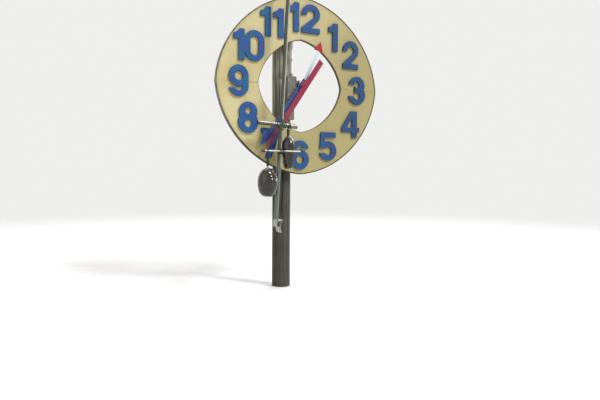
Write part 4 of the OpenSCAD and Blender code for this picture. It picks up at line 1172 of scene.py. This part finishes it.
def off_line(node, point, direction, pick):
    """Nearest or farthest distance of a node's corners from a line, by pick: min or max."""
    return pick((v.co - point).cross(direction).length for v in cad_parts[node].data.vertices)


def ringed(bm, place, inner, outer, start, end, ease=0.001, segments=48):
    """Adds a hollow ring about place's Z, from start to end, with eased outer edges."""
    turned(bm, place, [
        (inner, start), (outer - ease, start), (outer, start + ease), (outer, end - ease), (outer - ease, end),
        (inner, end), (inner, start),
    ], segments)


class CLOCK_OT_suspension(bpy.types.Operator):
    """Finish the pivot bracket and pin, with their bolts and split pin"""

    bl_idname = "clock.suspension"
    bl_label = "Suspension"

    def execute(self, context):
        looks = context.scene.clock_metal
        iron = iron_finish("bracket dark iron", looks.iron, looks.rust, rusty=0.6)
        dress(("pivot_bracket",), iron, looks.edge)
        steel = zinc_finish("pin bright steel", looks.bright, looks.rust, rough=0.3, wear=0.3, metal=0.9)
        dress(("pivot_pin",), steel, looks.edge)
        low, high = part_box("suspension_beam")
        bracket_low, bracket_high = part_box("pivot_bracket")
        x = (low.x + high.x) / 2
        y = (bracket_low.y + bracket_high.y) / 2
        bm = bmesh.new()
        for side in (-0.026, 0.026):
            for step in (-0.018, 0.018):
                stud_nut(bm, (x + side, y + step, high.z), UP, *BRACKET_NUT, turn=step * 30)
        piece("bracket_bolts", "frame", bm,
              zinc_finish("bracket bolt zinc", looks.zinc, looks.rust, wear=0.8))

        # Split pins through the pivot pin's ends, and the grease nipple on the pendulum's head
        pivot, down, right = pendulum_line()
        low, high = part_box("pivot_pin")
        bm = bmesh.new()
        for y, out in ((low.y, -1), (high.y, 1)):
            turned(bm, facing((pivot.x, y, pivot.z), (0, out, 0)), [(0.0, 0.0), (0.0145, 0.0), (0.0145, 0.004),
                   (0.012, 0.0065), (0.0, 0.0065)], 28)
            turned(bm, facing((pivot.x, y + out * 0.0035, pivot.z - 0.020), UP),
                   [(0.0, 0.0), (0.0022, 0.0), (0.0022, 0.040), (0.0, 0.040)], 10)
            for bend in (-1, 1):
                turned(bm, facing((pivot.x, y + out * 0.0035, pivot.z - 0.0195), (bend * 0.8, 0, -0.6)),
                       [(0.0, 0.0), (0.0018, 0.0), (0.0016, 0.011), (0.0, 0.011)], 8)
        piece("split_pins", "frame", bm, steel)
        bm = bmesh.new()
        head_r = (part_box("pendulum_head")[1].z - pivot.z)
        spot = pivot + (right - down).normalized() * head_r
        turned(bm, facing(spot, right - down),
               [(0.0055, -0.002), (0.0055, 0.005), (0.0035, 0.007), (0.0045, 0.010), (0.0025, 0.014),
                (0, 0.014)], 14)
        piece("grease_nipple", "pendulum", bm, steel)
        return {"FINISHED"}


class CLOCK_OT_pendulum(bpy.types.Operator):
    """Finish the pendulum's pipe, fitting, tubes and clamp, and add their screws"""

    bl_idname = "clock.pendulum"
    bl_label = "Pendulum"

    def execute(self, context):
        looks = context.scene.clock_metal
        timber = context.scene.clock_timber
        pivot, down, right = pendulum_line()
        fit_low, fit_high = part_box("cross_fitting")
        centre = (fit_low + fit_high) / 2
        # The pipe's sides: a painted highlight on the right, painted shade on the left, washed tone below the
        # lower rod.
        sides = (looks.pipe_painted_highlight, looks.pipe_painted_shade, looks.pipe_washed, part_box("lower_rod")[0].z)
        pipe = paint_finish("pipe green-grey paint", looks.pipe, looks.pipe_worn, rough=0.3, chips=0.8,
                            streaks=0.6, wet=0.5, sides=sides)
        dress(("pendulum_rod",), pipe)
        dress(("pendulum_head",), pipe, looks.edge)
        cast = paint_finish("fitting green paint", looks.fitting, looks.iron, rough=0.34, chips=0.8,
                            streaks=0.5, wet=0.4)
        dress(("cross_fitting",), cast, looks.edge)
        clamp = iron_finish("clamp dark iron", looks.iron, looks.rust, rusty=0.4)
        dress(("lower_clamp",), clamp, looks.edge)
        bore_r = off_line("cross_tube", centre, right, min)
        tube = zinc_finish("cross tube zinc", looks.tube, looks.rust, rough=0.34, wear=0.4, metal=0.3,
                           below=looks.grime, shade_to=0.8, bore=(centre, right, bore_r))
        dress(("cross_tube",), tube)
        rod = zinc_finish("lower rod zinc", looks.tube, looks.rust, rough=0.36, wear=0.3, metal=0.3,
                          below=looks.grime)
        dress(("lower_rod",), rod)
        white = plastic_finish("coupling white plastic", looks.coupling, looks.grime)
        dress(("end_coupling",), white, looks.edge)
        rubber = plastic_finish("cap dark rubber", looks.cap, looks.iron, rough=0.55)
        dress(("rod_end_cap",), rubber, looks.edge)

        # Thread cut on the open left end, and grips moulded round the coupling
        tube_r = off_line("cross_tube", centre, right, max)
        reach = max((centre - v.co).dot(right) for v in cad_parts["cross_tube"].data.vertices)
        bm = bmesh.new()
        for k in range(9):
            place = facing(centre - right * (reach - 0.003 - 0.0035 * k), right)
            crest, root = tube_r + 0.0009, tube_r - 0.0004
            turned(bm, place, [(root, -0.0014), (crest, 0.0), (root, 0.0014)], 48)
        piece("tube_thread", "pendulum", bm, tube)
        spots = [v.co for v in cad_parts["end_coupling"].data.vertices]
        start = min((p - centre).dot(right) for p in spots)
        end = max((p - centre).dot(right) for p in spots)
        grip_r = off_line("end_coupling", centre, right, max)
        bm = bmesh.new()
        for k in range(18):
            turn = Matrix.Rotation(2 * math.pi * k / 18, 4, "Z")
            place = facing(centre + right * start, right) @ turn
            slab(bm, (grip_r - 0.0040, -0.0022, 0.0195), (grip_r - 0.0006, 0.0022, end - start - 0.0195), place)
        piece("coupling_grips", "pendulum", bm, white, ease=0.0006)

        bm = bmesh.new()
        front = fit_low.y + 0.004
        for along in (-0.046, 0.046):
            hex_head(bm, centre + down * along + Vector((0, front - centre.y, 0)), FRONT, *FITTING_SCREW)
            hex_head(bm, centre + right * along + Vector((0, front - centre.y, 0)), FRONT, *FITTING_SCREW)
        head = pivot + down * 0.105
        for side in (-1, 1):
            hex_head(bm, head + Vector((0, side * 0.0325, 0)), (0, side, 0), *HEAD_SCREW)
        piece("fitting_screws", "pendulum", bm,
              zinc_finish("fitting screw zinc", looks.bright, looks.rust, wear=0.8))

        clamp_low, clamp_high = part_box("lower_clamp")
        rod_low, rod_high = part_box("lower_rod")
        rod_y, rod_z = (rod_low.y + rod_high.y) / 2, (rod_low.z + rod_high.z) / 2
        x = (clamp_low.x + clamp_high.x) / 2
        bm = bmesh.new()
        for side in (-0.020, 0.020):
            hex_head(bm, (x + side, rod_y - 0.0235, rod_z), FRONT, *CLAMP_SCREW)
        for z in (-0.012, 0.012):
            hex_head(bm, (x + 0.020, rod_y + 0.046, rod_z + z), RIGHT, *CLAMP_SIDE_SCREW)
        piece("clamp_screws", "pendulum", bm,
              zinc_finish("clamp screw zinc", looks.bright, looks.rust, wear=0.8))
        return {"FINISHED"}


def body_outline(node, top):
    """Axis and outline of a node's turned body below a height, from the rings of points in its mesh."""
    spots = [v.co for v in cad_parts[node].data.vertices if v.co.z < top]
    x = (min(p.x for p in spots) + max(p.x for p in spots)) / 2
    y = (min(p.y for p in spots) + max(p.y for p in spots)) / 2
    rings = {}
    for p in spots:
        rings.setdefault(round(p.z, 4), []).append(math.hypot(p.x - x, p.y - y))
    return Vector((x, y, 0)), [(max(r), z) for z, r in sorted(rings.items()) if len(r) > 20]


def smooth_profile(points, steps):
    """Smooth line through the points, with steps pieces between two, no wider than the points."""
    widest = max(r for r, z in points)
    drawn = []
    padded = [points[0]] + list(points) + [points[-1]]
    for a, b, c, d in zip(padded, padded[1:], padded[2:], padded[3:]):
        for k in range(steps):
            t = k / steps
            drawn.append(tuple(
                0.5 * (2 * b[i] + (c[i] - a[i]) * t + (2 * a[i] - 5 * b[i] + 4 * c[i] - d[i]) * t * t
                       + (3 * b[i] - a[i] - 3 * c[i] + d[i]) * t ** 3)
                for i in (0, 1)
            ))
    return [(min(r, widest), z) for r, z in drawn] + [tuple(points[-1])]


def hung_body(bm, axis, profile, seed, dents=0.016):
    """Turned body about a plumb axis, with dents and a rough skin that only go inwards."""
    turned(bm, Matrix.Translation(axis), profile, 144)
    for v in bm.verts:
        out = Vector((v.co.x - axis.x, v.co.y - axis.y, 0))
        if out.length > 0.012:
            broad = noise.noise(v.co * 9 + Vector((seed, 0, 0)))
            fine = noise.noise(v.co * 45 + Vector((0, seed, 0)))
            v.co += out.normalized() * dents * (min(0.0, broad) + 0.2 * min(0.0, fine))


class CLOCK_OT_weights(bpy.types.Operator):
    """Build the two hung weights, dented and wet, with their strap, hanger and bolts"""

    bl_idname = "clock.weights"
    bl_label = "Weights"

    def execute(self, context):
        looks = context.scene.clock_metal
        wet = wet_finish("weight wet iron", looks.weight, looks.weight_lime_and_glare, context.scene.clock_timber.algae)
        iron = iron_finish("hanger dark iron", looks.iron, looks.rust, rough=0.4)
        steel = zinc_finish("hanger bolt zinc", looks.bright, looks.rust, wear=0.8)
        right = pendulum_line()[2]
        low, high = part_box("cross_fitting")
        centre = (low + high) / 2

        # Flask on its strap
        strap_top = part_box("weight_right")[1].z
        axis, outline = body_outline("weight_right", strap_top - 0.0915)
        neck_r, neck_top = outline[-1]
        foot = outline[0][1]
        side = smooth_profile([(r, z) for r, z in outline if z < neck_top - 0.03], 6)
        profile = [(0, foot), (outline[0][0] * 0.96, foot)] + side[1:] + [
            (neck_r, neck_top - 0.016), (neck_r + 0.003, neck_top - 0.014), (neck_r + 0.003, neck_top - 0.003),
            (neck_r, neck_top), (0, neck_top),
        ]
        bm = bmesh.new()
        hung_body(bm, axis, profile, seed=4.0)
        piece("flask_weight", "pendulum", bm, wet, ("weight_right",), smooth_angle=50)
        bm = bmesh.new()
        along = (Vector((axis.x, centre.y, 0)) - centre).dot(Vector(RIGHT)) / right.x
        hung = centre + right * along
        tube_r = off_line("cross_tube", centre, right, max)
        ringed(bm, facing(hung, right), tube_r, tube_r + 0.0055, -0.012, 0.012, 0.0012)
        for y in (-0.0085, 0.0035):
            slab(bm, (axis.x - 0.012, axis.y + y, neck_top - 0.002),
                 (axis.x + 0.012, axis.y + y + 0.005, hung.z - tube_r - 0.001))
        piece("flask_strap", "pendulum", bm, iron, ease=0.0007)
        bm = bmesh.new()
        z = (neck_top + hung.z - tube_r) / 2
        hex_head(bm, (axis.x, axis.y - 0.0085, z), FRONT, *STRAP_BOLT)
        stud_nut(bm, (axis.x, axis.y + 0.0085, z), BACK, *STRAP_NUT)
        piece("strap_bolt", "pendulum", bm, steel)

        # Egg on its hanger
        eye_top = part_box("weight_left")[1].z
        axis, outline = body_outline("weight_left", eye_top - 0.22)
        low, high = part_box("lower_rod")
        rod_r, rod = (high.z - low.z) / 2, (low + high) / 2
        foot = outline[0][1]
        body = [(r, z) for r, z in outline if r > 0.02]
        top = body[-1][1]
        profile = [(0, foot), (body[0][0] * 0.96, foot)] + smooth_profile(body, 6)[1:]
        profile += [(0.018, top + 0.002), (0, top + 0.002)]
        bm = bmesh.new()
        hung_body(bm, axis, profile, seed=11.0)
        piece("egg_weight", "pendulum", bm, wet, ("weight_left",), smooth_angle=50)
        bm = bmesh.new()
        eye = Vector((axis.x, rod.y, rod.z))
        place = facing(eye, RIGHT)
        section = 0.0042
        turned(bm, place, [
            (rod_r + section - section * math.cos(math.pi * k / 6), section * math.sin(math.pi * k / 6))
            for k in range(13)
        ], 40)
        turned(bm, facing((axis.x, axis.y, top), UP), [
            (0.0065, 0.0), (0.0065, rod.z - rod_r - top - 0.016), (0.0085, rod.z - rod_r - top - 0.008),
            (0.0070, rod.z - rod_r - top - 0.001),
        ], 24)
        for k in range(9):
            turned(bm, facing((axis.x, axis.y, top + 0.020 + k * 0.003), UP),
                   [(0.0064, -0.0012), (0.0073, 0.0), (0.0064, 0.0012)], 24)
        strap_foot, strap_head = top + 0.020, rod.z - rod_r - 0.008
        for z in (strap_foot + 0.034, strap_head - 0.014):
            hex_head(bm, (axis.x, axis.y - 0.0095, z), FRONT, *HANGER_BOLT)
            stud_nut(bm, (axis.x, axis.y + 0.0095, z), BACK, *HANGER_BOLT_NUT)
        piece("egg_hanger", "pendulum", bm, iron)
        bm = bmesh.new()
        slab(bm, (axis.x - 0.013, axis.y - 0.0095, strap_foot), (axis.x + 0.013, axis.y - 0.0060, strap_head))
        slab(bm, (axis.x - 0.013, axis.y + 0.0060, strap_foot), (axis.x + 0.013, axis.y + 0.0095, strap_head))
        piece("hanger_straps", "pendulum", bm, paint_finish(
            "hanger green paint", toned(looks.fitting, 0.5), looks.iron, chips=0.5, streaks=0.2), ease=0.0008)
        bm = bmesh.new()
        hex_head(bm, (axis.x, axis.y, top + 0.001), UP, *HANGER_NUT)
        piece("hanger_nut", "pendulum", bm, steel)
        return {"FINISHED"}


class CLOCK_OT_paddle(bpy.types.Operator):
    """Finish the paddle and add its rivets and collar bolts"""

    bl_idname = "clock.paddle"
    bl_label = "Paddle"

    def execute(self, context):
        looks = context.scene.clock_metal
        plate = zinc_finish("paddle zinc", looks.paddle, looks.rust, rough=0.35, wear=0.6)
        dress(("paddle",), plate, 0.0008)
        pivot, down, right = pendulum_line()
        spots = [v.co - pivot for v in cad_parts["paddle"].data.vertices]
        low = max(p.dot(down) for p in spots)
        pipe_r = off_line("pendulum_rod", pivot, down, max)
        collar_r = pipe_r + 0.008
        width = max(p.y for p in spots)
        collar_top = min(p.dot(down) for p in spots if p.cross(down).length < collar_r + 0.001)
        bm = bmesh.new()
        for step in (0.022, 0.066):
            spot = pivot + down * (collar_top + step)
            hex_head(bm, spot + Vector((0, -collar_r + 0.0008, 0)), FRONT, *PADDLE_BOLT)
            stud_nut(bm, spot + Vector((0, collar_r - 0.0008, 0)), BACK, *PADDLE_NUT)
        piece("paddle_bolts", "pendulum", bm,
              zinc_finish("paddle bolt zinc", looks.bright, looks.rust, wear=0.8))

        # Rivets down the blade, beside the collar
        blade = [p for p in spots if abs(abs(p.y) - width) < 0.001]
        bm = bmesh.new()
        for share in (0.18, 0.36, 0.54, 0.72):
            reach = collar_top + (low - collar_top) * share
            near = min(blade, key=lambda p: abs(p.dot(down) - reach))
            inner = max(p.dot(right) for p in blade if abs(p.dot(down) - near.dot(down)) < 0.004)
            for y in (-0.052, 0.052):
                spot = pivot + down * near.dot(down) + right * inner + Vector((0, y, 0))
                dome_head(bm, spot, right, 0.0045, 0.0018)
        piece("paddle_rivets", "pendulum", bm, plate)
        return {"FINISHED"}


# Stage


def floor_finish(looks):
    """Pale floor whose far edge fades into the backdrop."""
    fin = Finish("floor pale", rough=0.9)
    fin.material.surface_render_method = "BLENDED"
    grain = fin.noise(3, 3)
    fin.done(fin.mix(fin.span(grain, 0.3, 0.7), (0.80, 0.79, 0.77), (0.84, 0.83, 0.81)))
    x, y = fin.axis("X"), fin.axis("Y")
    away = fin.math("SQRT", fin.math("ADD", fin.math("MULTIPLY", x, x), fin.math("MULTIPLY", y, y)))
    clear = fin.span(away, looks.floor_r * 0.35, looks.floor_r * 0.95)
    see = fin.add("ShaderNodeBsdfTransparent")
    blend = fin.add("ShaderNodeMixShader")
    fin.put(clear, blend.inputs[0])
    fin.put(fin.shader.outputs[0], blend.inputs[1])
    fin.put(see.outputs[0], blend.inputs[2])
    fin.put(blend.outputs[0], fin.tree.nodes["Material Output"].inputs["Surface"])
    return fin.material


class CLOCK_OT_stage(bpy.types.Operator):
    """Set the floor, the lamps, the sky and the camera"""

    bl_idname = "clock.stage"
    bl_label = "Stage"

    def execute(self, context):
        looks = context.scene.clock_stage
        scene = context.scene
        bm = bmesh.new()
        bmesh.ops.create_circle(bm, cap_ends=True, radius=looks.floor_r, segments=96)
        mesh = bpy.data.meshes.new("floor")
        bm.to_mesh(mesh)
        bm.free()
        floor = bpy.data.objects.new("floor", mesh)
        floor.location.z = -0.0015
        mesh.materials.append(floor_finish(looks))
        scene.collection.objects.link(floor)

        for name, strength, angle, towards in (
            ("key_lamp", looks.key, 14, (-0.50, 0.72, -0.80)),
            ("fill_lamp", looks.fill, 60, (0.85, 0.55, -0.35)),
            ("top_lamp", looks.rim * 0.6, 30, (-0.35, -0.72, -0.55)),
            ("side_lamp", looks.rim, 40, (-0.85, -0.30, -0.42)),
            ("back_lamp", looks.fill, 40, (0.40, -0.85, -0.45)),
        ):
            lamp = bpy.data.lights.new(name, "SUN")
            lamp.energy = strength
            lamp.angle = math.radians(angle)
            obj = bpy.data.objects.new(name, lamp)
            obj.rotation_mode = "QUATERNION"
            obj.rotation_quaternion = Vector(towards).to_track_quat("-Z", "Y")
            obj.location = -Vector(towards) * 8
            scene.collection.objects.link(obj)

        world = bpy.data.worlds.new("sky")
        scene.world = world
        world.use_nodes = True
        tree = world.node_tree
        tree.nodes.clear()
        light = tree.nodes.new("ShaderNodeBackground")
        light.inputs["Color"].default_value = (0.97, 0.98, 1.0, 1)
        light.inputs["Strength"].default_value = looks.sky
        seen = tree.nodes.new("ShaderNodeBackground")
        seen.inputs["Color"].default_value = (0.86, 0.86, 0.85, 1)
        path = tree.nodes.new("ShaderNodeLightPath")
        either = tree.nodes.new("ShaderNodeMath")
        either.operation = "MAXIMUM"
        blend = tree.nodes.new("ShaderNodeMixShader")
        out = tree.nodes.new("ShaderNodeOutputWorld")
        tree.links.new(path.outputs["Is Camera Ray"], either.inputs[0])
        tree.links.new(path.outputs["Is Glossy Ray"], either.inputs[1])
        tree.links.new(either.outputs[0], blend.inputs[0])
        tree.links.new(light.outputs[0], blend.inputs[1])
        tree.links.new(seen.outputs[0], blend.inputs[2])
        tree.links.new(blend.outputs[0], out.inputs["Surface"])

        camera = bpy.data.objects.new("camera", bpy.data.cameras.new("camera"))
        camera.data.lens = looks.lens
        camera.data.sensor_width = 36
        camera.data.clip_start, camera.data.clip_end = 0.1, 200
        camera.location = looks.eye
        turn = Matrix.Rotation(-looks.heading, 4, "Z") @ Matrix.Rotation(math.pi / 2 - looks.pitch, 4, "X")
        camera.rotation_euler = (turn @ Matrix.Rotation(looks.roll, 4, "Z")).to_euler()
        scene.collection.objects.link(camera)
        scene.camera = camera
        scene.view_settings.view_transform = "Standard"
        return {"FINISHED"}


class CLOCK_PT_panel(bpy.types.Panel):
    """Lists the steps that dress the clock"""

    bl_label = "Pendulum clock"
    bl_idname = "CLOCK_PT_panel"
    bl_space_type = "VIEW_3D"
    bl_region_type = "UI"
    bl_category = "Clock"

    def draw(self, context):
        for operator in OPERATORS:
            self.layout.operator(operator.bl_idname)
        for name in GROUPS:
            box = self.layout.box()
            group = getattr(context.scene, name)
            for key in group.__annotations__:
                box.prop(group, key)


GROUPS = {
    "clock_timber": ClockTimber,
    "clock_dial": ClockDial,
    "clock_metal": ClockMetal,
    "clock_stage": ClockStage,
}
OPERATORS = (
    CLOCK_OT_timber,
    CLOCK_OT_dial,
    CLOCK_OT_numerals,
    CLOCK_OT_clockwork,
    CLOCK_OT_hands,
    CLOCK_OT_suspension,
    CLOCK_OT_pendulum,
    CLOCK_OT_weights,
    CLOCK_OT_paddle,
    CLOCK_OT_stage,
)


def register():
    for cls in (*GROUPS.values(), *OPERATORS, CLOCK_PT_panel):
        bpy.utils.register_class(cls)
    for name, cls in GROUPS.items():
        setattr(bpy.types.Scene, name, PointerProperty(type=cls))


def unregister():
    for name in GROUPS:
        delattr(bpy.types.Scene, name)
    for cls in (CLOCK_PT_panel, *reversed(OPERATORS), *reversed(GROUPS.values())):
        bpy.utils.unregister_class(cls)


def main():
    register()
    for operator in OPERATORS:
        group, name = operator.bl_idname.split(".")
        getattr(getattr(bpy.ops, group), name)()


if __name__ == "__main__":
    main()
